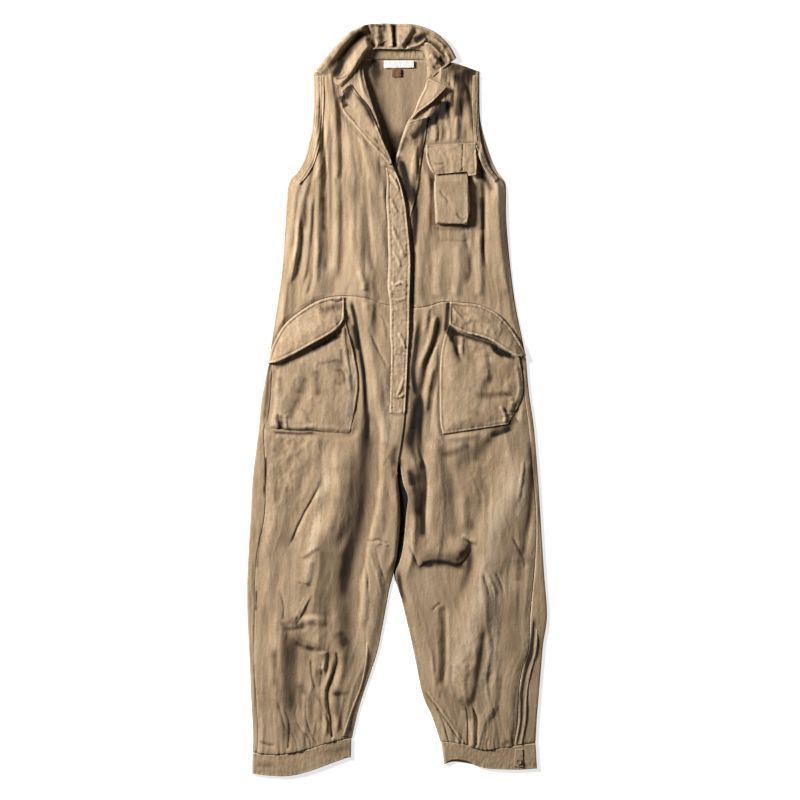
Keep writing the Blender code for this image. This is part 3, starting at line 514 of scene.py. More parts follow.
# %% Folds of the hips and the legs
LEG_FOLDS = [
    # wearer's right hip: the pleat beside the pocket, and the cloth drawn to the placket
    fold("-93,196 -82,156 -73,112 -66,60 -64,10 -64,-50 -66,-90", 6, 9, -4, 1.4, (0.05, 0.1), 0.3),
    shade("-95,200 -85,165 -79,135 -74,108 -69,60 -64,10 -61,-40 -63,-100", 7, 8, 1.7, (0.06, 0.15)),
    shade("-58,-16 -58,-50 -60,-90", 7, 7, 0.9, 0.3),
    shade("-104,-286 -106,-340 -110,-404", 28, 22, 0.55, 0.25),
    shade("-254,-62 -226,-64 -200,-66 -156,-69", 4, 4, 1.6, (0.15, 0.2)),
    shade("-88,156 -83,130 -77,96", 8, 8, 1.7, (0.15, 0.2)),
    shade("-50,192 -48,166 -46,142", 6, 6, -0.7),
    shade("-24,50 -21,0 -18,-40 -17,-92", 9, 8, -0.9, 0.1),
    fold("-62,200 -58,150 -52,90 -44,30 -38,-40", 14, 16, 4.4, 1.8, (0.05, 0.3)),
    shade("-36,196 -28,170 -20,150", 7, 8, 0.45, (0.02, 0.3)),
    fold("-58,150 -46,116 -32,84 -16,52", 4, 7, -2.6, 1.2, (0.3, 0.2), 0.15),
    fold("-36,176 -28,160 -22,140 -20,116", 4, 6, -2.6, 1.2, (0.2, 0.3), 0.15),
    shade("-254,90 -258,40 -261,0 -266,-44", 6, 7, 0.9, (0.02, 0.1)),
    fold("-32,0 -26,-50 -20,-96", 16, 16, 2.2, 1.9, (0.3, 0.2)),
    shade("-11,-30 -14,-66 -20,-100", 12, 10, -0.7, (0.1, 0.3)),
    shade("0,-84 -7,-112 -3,-142", 12, 8, 1, 0.3),
    shade("-14,-108 -22,-124 -30,-136", 2.5, 3, 0.7),
    # wearer's right leg: a broad ridge that runs down and outwards, a wide trough, and the inner leg
    fold("-118,-80 -116,-130 -116,-190 -130,-240 -156,-290 -182,-330", 44, 40, 11, 1.9, (0.2, 0.35)),
    fold("-44,-20 -42,-100 -42,-160 -50,-220 -62,-270 -73,-316 -80,-370 -84,-440 -80,-520", 40, 16, -9.5, 1.8,
         (0.1, 0.2)),
    shade("-58,-40 -60,-90 -64,-140 -69,-190 -73,-232 -84,-276 -94,-310 -102,-350 -104,-410", 25, 24, 1.15,
          (0.15, 0.2), 2),
    shade("-120,-458 -112,-480 -100,-496", 22, 16, 0.6),
    shade("-134,-120 -148,-190 -156,-240 -170,-300 -176,-370", 16, 14, -0.9, (0.2, 0.05)),
    shade("-60,-350 -57,-400 -55,-456", 11, 9, -0.8, 0.1),
    shade("-34,-344 -30,-370 -32,-394", 6, 6, -0.6),
    shade("-113,-186 -120,-226 -136,-268", 12, 10, 0.6),
    shade("-98,-350 -102,-420 -102,-470 -98,-520 -96,-570", 28, 22, 0.95, 0.3, 2),
    shade("-64,-96 -80,-144 -92,-190 -95,-240 -101,-284 -118,-312 -126,-350", 17, 15, 0.45, (0.2, 0.25)),
    fold("-34,-150 -32,-210 -32,-270", 18, 18, 4, 1.9, (0.25, 0.3)),
    fold("2,-150 4,-200 4,-250 -2,-310", 26, 3, 3.6, 1.6, (0.15, 0.2)),
    shade("-166,-90 -184,-140 -200,-190 -212,-240 -226,-290 -232,-326", 26, 16, 0.6, (0.15, 0.2)),
    shade("-152,-298 -154,-340 -163,-384 -169,-436", 3, 56, 0.8, 0.1, 1.4),
    fold("-176,-318 -178,-350 -186,-376", 20, 12, 3.4, 1.8, 0.2),
    fold("-66,-340 -64,-400 -66,-456", 16, 12, 3.4, 1.8, 0.2),
    shade("-263,-112 -262,-150 -264,-192", 3, 3, 1.7, 0.1),
    shade("-268,-252 -277,-300 -282,-336", 3, 4, 0.9, 0.1),
    shade("-283,-376 -283,-424", 3, 3, 1.4, 0.1),
    fold("-149,-155 -167,-196 -193,-243 -217,-295", 3, 18, -3.2, 1.2, (0.25, 0.15), 0.35),
    fold("-146,-166 -160,-196 -182,-236 -204,-280", 7, 20, 3.2, 1.6, 0.2),
    fold("-192,-318 -172,-304 -154,-292", 6, 12, 2, 1.5, (0.2, 0.3)),
    shade("-184,-320 -164,-306 -150,-296", 4, 2, 0.5),
    fold("-200,-366 -184,-368 -168,-374", 3.5, 4, -2, 1.2, 0.2, 0.12),
    fold("-61,-280 -48,-282 -36,-278 -26,-284 -14,-282", 3.5, 5, -2.6, 1.1, 0.15, 0.15),
    fold("-42,-288 -30,-284 -18,-290", 3.5, 4, 2.6, 1.2, 0.2),
    fold("-80,-292 -68,-320 -60,-356 -58,-400", 4, 7, -2.4, 1.2, (0.15, 0.3), 0.12),
    fold("-42,-300 -34,-330 -22,-366", 3.5, 6, -2.4, 1.2, (0.15, 0.3), 0.12),
    fold("-60,-292 -48,-324 -36,-360 -30,-396", 4, 5, 2.2, 1.4, (0.15, 0.3)),
    fold("-86,-310 -76,-350 -72,-400", 5, 6, 2, 1.5, (0.15, 0.3)),
    # the knee
    fold("-235,-376 -230,-396 -226,-417 -228,-440", 3, 9, -2.4, 1.2, (0.3, 0.1), 0.3),
    fold("-171,-385 -184,-410 -198,-436 -209,-446", 12, 4, 3.6, 1.4, (0.3, 0.1)),
    shade("-178,-386 -190,-410 -202,-438 -212,-448", 3, 5, 0.6, (0.2, 0.05)),
    fold("-232,-444 -206,-446 -184,-440 -160,-438 -138,-450", 14, 12, 5, 1.8, (0.15, 0.2)),
    shade("-228,-452 -208,-454 -196,-450", 4, 4, 0.6, (0.1, 0.2)),
    shade("-198,-452 -198,-470 -184,-482 -150,-488", 5, 6, 0.45, (0.1, 0.2)),
    shade("-206,-478 -184,-492 -162,-500", 10, 9, 0.7),
    shade("-234,-447 -214,-442 -196,-432", 9, 9, 0.9, 0.1),
    fold("-146,-500 -146,-522 -150,-550", 18, 9, 4.4, 1.8, (0.1, 0.3)),
    shade("-212,-456 -208,-500 -206,-540 -208,-590 -216,-640 -221,-708", 28, 36, 1, (0.1, 0.2), 1.6),
    shade("-246,-490 -243,-540 -245,-580", 10, 9, 0.9),
    shade("-272,-540 -269,-580 -272,-612", 8, 7, -0.6),
    shade("-118,-568 -120,-600 -125,-636", 15, 9, 0.8),
    shade("-152,-586 -152,-616 -156,-646", 8, 8, 0.7),
    shade("-188,-580 -184,-620 -184,-670 -190,-704", 9, 9, -0.7, 0.1),
    shade("-136,-630 -137,-650 -136,-672", 4, 5, -0.6),
    shade("-86,-600 -90,-636 -98,-674", 5, 6, -0.8),
    shade("-144,-696 -118,-690 -92,-676", 10, 12, 1.4, (0.1, 0.05)),
    shade("-184,-490 -168,-494 -150,-496", 10, 9, 1),
    shade("-196,-560 -184,-590 -180,-626", 15, 15, 0.5, (0.2, 0.3)),
    shade("-138,-508 -142,-524 -152,-546", 8, 7, -0.9),
    fold("-202,-470 -200,-530 -206,-590 -212,-650", 22, 12, -4.5, 1.8, (0.2, 0.3)),
    fold("-238,-390 -234,-470 -232,-540 -238,-620", 26, 18, 5, 1.9, (0.3, 0.2)),
    # the sharp crease above the cuff and its neighbours
    fold("-123,-502 -121,-527 -133,-556 -140,-585 -138,-618 -134,-640 -131,-676", 3, 12, -6, 1.1,
         (0.06, 0.03), 0.6),
    fold("-128,-510 -132,-545 -146,-585 -144,-630 -140,-670", 9, 5, 3.6, 1.6, (0.15, 0.1)),
    fold("-114,-500 -108,-530 -118,-570 -124,-610 -120,-664", 10, 12, 3.6, 1.8, 0.1),
    shade("-134,-588 -112,-586 -92,-583", 8, 8, 0.75),
    fold("-172,-516 -168,-556 -160,-584", 3.5, 7, -3, 1.3, (0.15, 0.3), 0.2),
    fold("-152,-520 -150,-550 -156,-580", 4, 6, -2, 1.3, (0.15, 0.3), 0.1),
    fold("-226,-618 -216,-650 -216,-700", 3.5, 7, -3.2, 1.2, (0.15, 0.03), 0.2),
    fold("-240,-600 -230,-636 -222,-668", 4, 6, -2.4, 1.3, 0.2, 0.1),
    fold("-198,-600 -204,-630 -192,-658 -174,-674 -172,-694", 3, 5, -2.4, 1.2, (0.2, 0.03), 0.15),
    fold("-180,-590 -182,-630 -172,-660 -158,-686", 3, 5, -2.2, 1.2, (0.2, 0.03), 0.12),
    fold("-166,-586 -152,-608 -138,-644 -130,-674", 3, 5, -2.2, 1.2, (0.2, 0.03), 0.12),
    fold("-212,-664 -200,-684 -196,-704", 3, 4, -2, 1.2, (0.2, 0.03), 0.12),
    fold("-278,-680 -258,-690 -240,-692", 5, 6, -2.6, 1.5, 0.2, 0.25),
    # wearer's left hip: slanted pleats and the deep fold beside the placket
    shade("47,176 41,136 37,104 33,76 32,50 38,4", 7, 10, 2, (0.3, 0.1)),
    shade("46,20 43,-24 34,-54 26,-84 30,-124", 24, 22, 1.25, (0.25, 0.3)),
    shade("46,-326 70,-318 100,-316 126,-312 138,-288", 22, 24, 0.7, (0.2, 0.25)),
    shade("48,16 46,-30 46,-64 46,-98 52,-142", 9, 9, 1.5, (0.2, 0.1)),
    shade("24,190 26,150 25,108", 6, 6, -0.8),
    shade("66,194 64,170 62,150", 6, 6, -0.7),
    shade("84,134 78,114 74,98", 5, 6, -0.8),
    shade("89,166 83,136 72,110 62,88 54,60 48,30 42,0 38,-30 35,-60", 12, 9, 1, (0.08, 0.02)),
    fold("92,172 86,140 76,112 66,88 58,60 52,30 48,0 44,-40", 12, 7, -5, 1.5, (0.08, 0.2)),
    fold("78,170 70,134 60,104 50,78 44,52", 10, 6, 4, 1.6, (0.1, 0.3)),
    fold("96,120 90,84 82,50 74,14 68,-24 64,-80", 10, 7, -2.2, 1.5, (0.1, 0.2)),
    fold("72,70 66,40 60,10 56,-30", 7, 6, 3.6, 1.6, (0.15, 0.2)),
    fold("90,60 88,0 88,-60 88,-84", 14, 8, 4, 1.7, (0.2, 0.1)),
    fold("62,186 58,160 54,130", 9, 7, 3, 1.6, (0.05, 0.3)),
    shade("103,196 101,172 100,152 98,134", 7, 9, 2, (0.02, 0.1)),
    fold("34,40 40,0 38,-50 42,-96 55,-134 58,-190 57,-266", 22, 5, -6.5, 1.7, (0.1, 0.15)),
    shade("50,-118 57,-140 58,-180 58,-220 55,-282", 24, 4, 1.3, 0.1, 2.2),
    shade("36,-130 34,-170 38,-215 46,-244", 20, 18, 1.15),
    shade("32,-284 34,-310", 7, 7, -0.6),
    shade("4,-326 5,-354 10,-386 20,-420", 9, 9, 1.5, (0.3, 0.4)),
    shade("22,-138 26,-158 30,-172", 9, 12, 0.8),
    shade("30,-118 36,-132", 10, 10, -0.5),
    fold("14,-134 28,-170 34,-240 32,-300", 10, 9, 3.4, 1.8, 0.2),
    # wearer's left leg: the pressed edge, the bulge that hangs over the knee and the long diagonal fold
    fold("78,-70 76,-110 75,-160 74,-210 74,-270 80,-300", 22, 26, 5.4, 1.7, 0.12),
    shade("100,-120 104,-160 106,-200 108,-240 106,-280", 15, 20, 0.85, (0.25, 0.15)),
    shade("86,-110 116,-104 146,-86", 13, 12, 0.9, 0.1),
    shade("110,-150 130,-120 152,-104 186,-84", 26, 22, 0.75, (0.3, 0.15)),
    fold("128,-180 130,-220 132,-262", 18, 14, 3, 1.8, (0.3, 0.25)),
    shade("168,-150 158,-190 148,-230 142,-262", 26, 20, 0.5, (0.2, 0.1)),
    shade("242,-40 218,-58 192,-70 176,-96", 18, 14, 1.2, (0.02, 0.2)),
    shade("100,-78 136,-76 172,-70", 12, 8, 0.5, 0.1),
    shade("138,-272 146,-300 142,-330 134,-362 126,-404", 16, 12, 1.05, (0.12, 0.4)),
    fold("60,-284 84,-300 112,-300 132,-280", 26, 30, 3.4, 1.8, 0.2),
    fold("40,-340 64,-326 92,-324 118,-328 138,-314 146,-296 140,-272", 8, 5, -2.6, 1.4, 0.1, 0.3),
    shade("36,-342 62,-328 90,-324 118,-328 134,-324", 13, 10, 1.25, (0.12, 0.1)),
    shade("112,-318 130,-308 142,-294", 10, 8, 0.5, 0.15),
    fold("22,-286 32,-310 42,-336", 3, 5, -3, 1.2, (0.2, 0.1), 0.4),
    fold("128,-268 138,-274 150,-281 164,-285", 4, 9, 3, 1.3, (0.1, 0.3)),
    shade("130,-273 140,-280 152,-287 162,-290", 4, 3, 0.8, (0.1, 0.2)),
    shade("148,-232 148,-254 142,-268", 7, 7, 0.5),
    fold("256,-90 248,-130 230,-180 204,-230 184,-280 174,-330 164,-390 150,-450 136,-530 118,-600", 44, 60,
         4.8, 1.9, (0.08, 0.15)),
    shade("252,-120 236,-150 216,-200 200,-250 184,-310 176,-350 164,-400 152,-450 130,-520 108,-596", 24, 24,
          -0.8, (0.08, 0.1)),
    shade("262,-110 258,-160 246,-210 236,-240", 9, 9, -0.9, 0.1),
    shade("196,-336 199,-390 198,-440 192,-490 185,-550 182,-610", 14, 12, -1.2, 0.15),
    shade("265,-70 268,-120 271,-170 267,-220 256,-270 248,-316", 12, 11, 1.2, 0.1),
    shade("236,-290 250,-312 266,-322", 16, 14, 0.6),
    fold("276,-120 274,-180 266,-240 254,-310", 20, 9, -2.6, 1.8, (0.12, 0.2)),
    fold("252,-110 249,-160 242,-210", 5, 5, 2.4, 1.5, (0.2, 0.3)),
    shade("236,-308 243,-336 240,-366", 15, 13, 0.75, 0.15),
    shade("234,-360 236,-440 233,-500 226,-550", 20, 18, 0.7, (0.2, 0.3)),
    shade("240,-520 234,-580 230,-640 226,-690", 20, 10, 0.5, (0.3, 0.05)),
    fold("228,-270 242,-296 252,-318 252,-340", 4, 7, -3, 1.2, 0.2, 0.2),
    fold("170,-346 180,-376 186,-400", 4, 6, -2.6, 1.2, (0.2, 0.3), 0.12),
    fold("176,-340 190,-370 200,-400", 4, 5, 2.2, 1.3, (0.2, 0.3)),
    fold("192,-338 206,-366 216,-396", 4, 6, -2, 1.3, (0.2, 0.3), 0.1),
    # the lower left leg
    shade("178,-440 172,-476 165,-514 159,-556 152,-590 147,-616", 14, 10, 1.35, (0.2, 0.15)),
    shade("124,-588 142,-606 146,-646", 18, 15, 0.75, (0.1, 0.2)),
    shade("112,-480 114,-530 108,-570 100,-600", 12, 12, -0.6, 0.1),
    shade("200,-600 190,-622 174,-648 168,-690", 8, 8, -0.8, 0.1),
    shade("126,-596 134,-620", 10, 10, 0.6),
    shade("204,-690 214,-684 222,-676", 7, 7, 0.8),
    shade("44,-318 60,-330 72,-326", 9, 9, 0.7),
    shade("118,-306 134,-300 142,-286", 9, 9, 0.8),
    shade("186,-70 206,-69 228,-58", 7, 7, 1, 0.1),
    fold("196,-530 196,-570 192,-610 174,-640 164,-670 160,-700", 16, 14, 3.2, 1.7, (0.15, 0.1)),
    shade("90,-426 94,-480 92,-520 85,-552", 12, 8, 0.45, 0.12),
    shade("96,-556 90,-576 84,-598", 7, 5, 0.6, (0.2, 0.05)),
    fold("96,-404 98,-456 96,-530 88,-580", 16, 8, -4.6, 1.6, 0.1),
    fold("70,-420 80,-408 90,-402", 4, 4, -2.2, 1.2, 0.2, 0.2),
    fold("66,-492 70,-520 70,-548", 3, 5, 2, 1.4, 0.2),
    fold("56,-584 68,-600 80,-614 96,-640 112,-662 130,-684", 3, 6, -4.4, 1.1, (0.03, 0.02), 0.6),
    fold("60,-584 72,-600 84,-614 100,-640 116,-662 134,-684", 3, 5, 3.2, 1.3, (0.03, 0.02)),
    fold("80,-616 92,-646 102,-680", 2.5, 5, -3, 1.1, (0.03, 0.02), 0.4),
    fold("136,-598 142,-636 142,-690", 3, 6, -3, 1.2, (0.2, 0.02), 0.25),
    fold("150,-610 160,-640 158,-690", 5, 7, -3, 1.4, (0.2, 0.02), 0.15),
    fold("146,-600 152,-640 150,-690", 5, 5, 2.4, 1.5, (0.2, 0.02)),
    fold("180,-676 178,-690 180,-700", 3, 5, -2.2, 1.3, (0.2, 0.02), 0.15),
    shade("262,-430 257,-470 250,-512", 7, 7, -0.6, 0.1),
    fold("254,-530 246,-590 241,-640 238,-690", 3, 6, -4, 1.1, (0.1, 0.02), 0.5),
    shade("264,-500 257,-548 248,-590 242,-630", 8, 8, 1.7, (0.2, 0.4)),
    shade("277,-430 272,-480 264,-530 256,-580 250,-640", 7, 7, 1.5, (0.12, 0.02)),
]
print(len(LEG_FOLDS), "folds on the legs")

# %% [markdown]
# ## From table to cloth
# The listed folds give the garment its look. Between them go finer creases that no one would place by
# hand. They follow the grain, so their noise runs in shares of the panel's width and not straight down, and
# they are about seven times as long as wide.


# %% Creases that follow the grain
def creases(across, down, x, y, seed):
    """Long creases in three sizes, crisp on their crests, on a slow swell."""
    lean = across + 6 * noise(x / 70, y / 90, seed + 5) + 1.5 * noise(x / 25, y / 60, seed + 7)
    calm = 0.72 + 0.28 * ease((y - 100) / 80)
    swell = 3.6 * noise(lean / 55, down / 240, seed) + 2.4 * noise(x / 60, y / 75, seed + 4)
    broad = 7.0 * (facets(lean / 38, down / 300, seed + 1) - 0.25)
    broad *= 0.9 + 0.8 * noise(x / 60, y / 90, seed + 8)
    middle = 2.8 * (facets(lean / 17, down / 150, seed + 2) - 0.25)
    middle *= 0.8 + 1.2 * noise(x / 50, y / 70, seed + 9)
    fine = 0.7 * (facets(lean / 7.5, down / 62, seed + 3) - 0.25)
    return (swell + broad + middle) * calm + fine


def crumples(x, y, seed, size=20.0):
    """Round crumples in two sizes."""
    wx, wy = x + 4 * noise(x / 30, y / 30, seed + 3), y + 4 * noise(x / 30, y / 30, seed + 4)
    big = facets(wx / size, wy / (1.5 * size), seed) - 0.25
    return big + 0.4 * (facets(wx / (0.45 * size), wy / (0.6 * size), seed + 1) - 0.25)


def pucker(line, x, y, high=0.55, pitch=6.5, reach=7.0):
    """Short ripples across a sewn line, where the thread has drawn the cloth in."""
    near = off(line, x, y, 3 * reach) < 2.9 * reach
    ripple = np.zeros(x.shape)
    if near.any():
        d, s, side = nearest(line, x[near], y[near])
        length = curve(line)[1][-1]
        ripple[near] = high * noise(s * length / pitch, side * d / 16 + 40, 23) * bell(d, reach)
    return ripple


def groove(line, x, y, deep=0.7, wide=2.6):
    """The small trough that a row of stitches pulls into the cloth."""
    return -deep * bell(off(line, x, y, 3 * wide), wide)


# %% The front's height at each place
SEWN = {
    "right": [LINES["waist_right"], LINES["fly_right"], LINES["side_right"], LINES["seam_right"],
              LINES["inner_right"][5:], LINES["hem_right"], PATCHES["fly_placket"]["left"]],
    "left": [LINES["waist_left"][2:], LINES["side_left"], LINES["seam_left"], LINES["inner_left"][5:],
             LINES["hem_left"], PATCHES["under_placket"]["right"],
             marks("82,348 84,320 104,319 140,320 142,350")],
}
# where a front is crumpled, how far in x and in y, and how much
CRUMPLED = [((-215, -150), 60, 90, 4.2), ((-170, -450), 60, 50, 3.0), ((180, -150), 45, 70, 3.0),
            ((140, -520), 40, 60, 3.0), ((-190, -620), 80, 60, 1.6), ((180, -560), 60, 70, 1.6),
            ((-200, -80), 60, 26, 3.0)]


def gathers(side, x, y):
    """The hem's fullness, drawn into the cuff. It dies out up the leg."""
    d, s, _ = nearest(LINES[f"hem_{side}"], x, y)
    count = 13 if side == "right" else 11
    place = s * count + 0.5 * noise(s * 6, d / 90, 31) + 0.12 * noise(s * 20, d / 40, 32)
    lobe = np.abs(np.sin(math.pi * place)) ** 0.8
    strength = (0.65 + 0.5 * noise(np.floor(place) * 0.73, place * 0, 33)) * ease((y + 720) / 6)
    return (2.0 * lobe - 0.9) * strength * np.exp(-d / (48 + 26 * noise(s * 7, s * 0, 34)))


def front_painted_shading(side, x, y):
    """Where the front is painted darker or lighter: painted shade and painted light from the fold tables,
    dark lines along its seams, and painted shade round the patches sewn on it.
    """
    dark = folds_both(BODICE_FOLDS if y.mean() > 150 else LEG_FOLDS, x, y)[1]
    for line in SEWN[side]:
        dark += 0.35 * bell(off(line, x, y, 6), 1.6)
    for name in ("chest_pocket", "chest_flap", "fly_placket"):
        dark += 0.5 * bell(off(outline(name), x, y, 8), 2.6)
    dark += 0.5 * bell(off(PATCHES["hip_pocket_left"]["left"][:4], x, y, 8), 2.2)
    dark += 0.5 * bell(off(PATCHES["hip_pocket_right"]["right"][:4], x, y, 8), 2.6)
    return dark


# above these heights a front runs from its fly to its side, and below them from inner seam to outer seam
FLY_END, SIDE_END = 180, 110
# the width over which the creases of a front are spread
FRONT_WIDE = 235


def front_height(side, x, y):
    """The underside of a front half, folds and all."""
    middle = along(LINES[f"fly_{side}"], np.linspace(0, 1, 40))
    sides = along(LINES[f"side_{side}"], np.linspace(0, 1, 40))
    inner = along(LINES[f"inner_{side}"], np.linspace(0, 1, 60))
    outer = along(LINES[f"seam_{side}"], np.linspace(0, 1, 60))
    near_x = np.where(y > FLY_END, np.interp(y, middle[:, 1], middle[:, 0]),
                      np.interp(y, inner[::-1, 1], inner[::-1, 0]))
    far_x = np.where(y > SIDE_END, np.interp(y, sides[:, 1], sides[:, 0]),
                     np.interp(y, outer[::-1, 1], outer[::-1, 0]))
    across = (x - near_x) / (far_x - near_x) * FRONT_WIDE
    seed = 100 if side == "right" else 200
    in_bodice = ease((y - np.interp(x, *np.array(LINES[f"waist_{side}"]).T)) / 4 + 0.5)
    lift = folds_height(BODICE_FOLDS, x, y) * in_bodice + folds_height(LEG_FOLDS, x, y) * (1 - in_bodice)
    lift += creases(across, y, x, y, seed)
    for (cx, cy), rx, ry, high in CRUMPLED:
        lift += high * bell(x - cx, rx) * bell(y - cy, ry) * crumples(x, y, 41, 22)
    free = freedom(side, x, y)
    z = front_lie(side, x, y) + (lift + LOFT) * free
    z += gathers(side, x, y) * ease((-480 - y) / 60)
    for line in SEWN[side]:
        z += pucker(line, x, y) + groove(line, x, y, 0.5)
    floor = EDGE_LIFT - 0.2
    return floor + 0.8 * np.logaddexp(0, (z - floor) / 0.8)


def on_front(side, x, y):
    """The upper face of a front half, on which the patches lie."""
    return front_height(side, x, y) + WALL


middle_of_front = np.array([-100.0]), np.array([300.0])
print("height in the middle of the right front:", front_height("right", *middle_of_front))

# %% [markdown]
# ## The finish of washed twill
# Cotton twill is woven in fine diagonal ribs. Dyed after sewing and washed, it is pale where it has rubbed
# along the edges. It is paler on the crests and deeper in the creases, partly from that washing and partly as
# painted highlight and painted shade, and over this lies a painted shading of light and shade from the fold
# tables. The weave and the dye are two node groups: each material places them with its own colours. The
# creases, the edges and the painted shading are known from the mesh, which carries them as attributes.


# %% A node group from a list of sockets
def new_group(name, inputs, outputs):
    """An empty shader node group. Each input is (name, kind, default) and each output (name, kind)."""
    group = bpy.data.node_groups.new(name, "ShaderNodeTree")
    for label, kind, default in inputs:
        socket = group.interface.new_socket(label, in_out="INPUT", socket_type=f"NodeSocket{kind}")
        if default is not None:
            socket.default_value = default
    for label, kind in outputs:
        group.interface.new_socket(label, in_out="OUTPUT", socket_type=f"NodeSocket{kind}")
    return group, group.nodes.new("NodeGroupInput"), group.nodes.new("NodeGroupOutput")


def add_node(tree, kind, settings=None, **values):
    """A node with its settings, and its inputs set by name or linked."""
    node = tree.nodes.new(kind)
    for key, value in (settings or {}).items():
        setattr(node, key, value)
    for key, value in values.items():
        socket = node.inputs[int(key[1:])] if key[0] == "i" and key[1:].isdigit() else node.inputs[key]
        if isinstance(value, bpy.types.NodeSocket):
            tree.links.new(value, socket)
        else:
            socket.default_value = value
    return node


def maths(tree, operation, *values, clamp=False):
    """The output of a Math node."""
    sockets = {f"i{k}": value for k, value in enumerate(values)}
    return add_node(tree, "ShaderNodeMath", dict(operation=operation, use_clamp=clamp), **sockets).outputs[0]


def blend_colours(tree, share, a, b, mode="MIX"):
    """The output of a colour Mix node."""
    node = add_node(tree, "ShaderNodeMix", dict(data_type="RGBA", blend_type=mode), i0=share, i6=a, i7=b)
    return node.outputs[2]


# %% The twill weave
# across the ribs, and across the filling threads
RIB_WAY, FILLING_WAY = (0.88, 0.47, 0.0), (0.12, -0.99, 0.0)


def make_weave_group():
    """Diagonal ribs crossed by the finer filling threads. Vector is the cut's UV in metres."""
    group, given, result = new_group(
        "twill_weave",
        [("Vector", "Vector", None), ("Rib", "Float", 0.0011), ("Filling", "Float", 0.0007)],
        [("Height", "Float"), ("Thread", "Float")])
    slub = add_node(group, "ShaderNodeTexNoise", Vector=given.outputs["Vector"], Scale=420.0, Detail=1.0)
    diagonal = add_node(group, "ShaderNodeVectorMath", dict(operation="DOT_PRODUCT"),
                        i0=given.outputs["Vector"], i1=RIB_WAY).outputs["Value"]
    upright = add_node(group, "ShaderNodeVectorMath", dict(operation="DOT_PRODUCT"),
                       i0=given.outputs["Vector"], i1=FILLING_WAY).outputs["Value"]
    waver = maths(group, "MULTIPLY", slub.outputs[0], 1.6)
    ribs = maths(group, "SINE", maths(group, "ADD", waver, maths(
        group, "DIVIDE", maths(group, "MULTIPLY", diagonal, 2 * math.pi), given.outputs["Rib"])))
    threads = maths(group, "SINE", maths(
        group, "DIVIDE", maths(group, "MULTIPLY", upright, 2 * math.pi), given.outputs["Filling"]))
    height = maths(group, "ADD", maths(group, "MULTIPLY", ribs, 0.35),
                   maths(group, "MULTIPLY", threads, 0.15))
    group.links.new(maths(group, "ADD", height, 0.5), result.inputs["Height"])
    group.links.new(slub.outputs[0], result.inputs["Thread"])
    return group


twill_weave = make_weave_group()


# %% The washed dye
# the colour that painted shade multiplies in, and the painted black at the bottom of a gap, where shade falls
SHADED, PAINTED_GAP_BLACK = (0.17, 0.145, 0.12, 1), (0.012, 0.008, 0.005, 1)


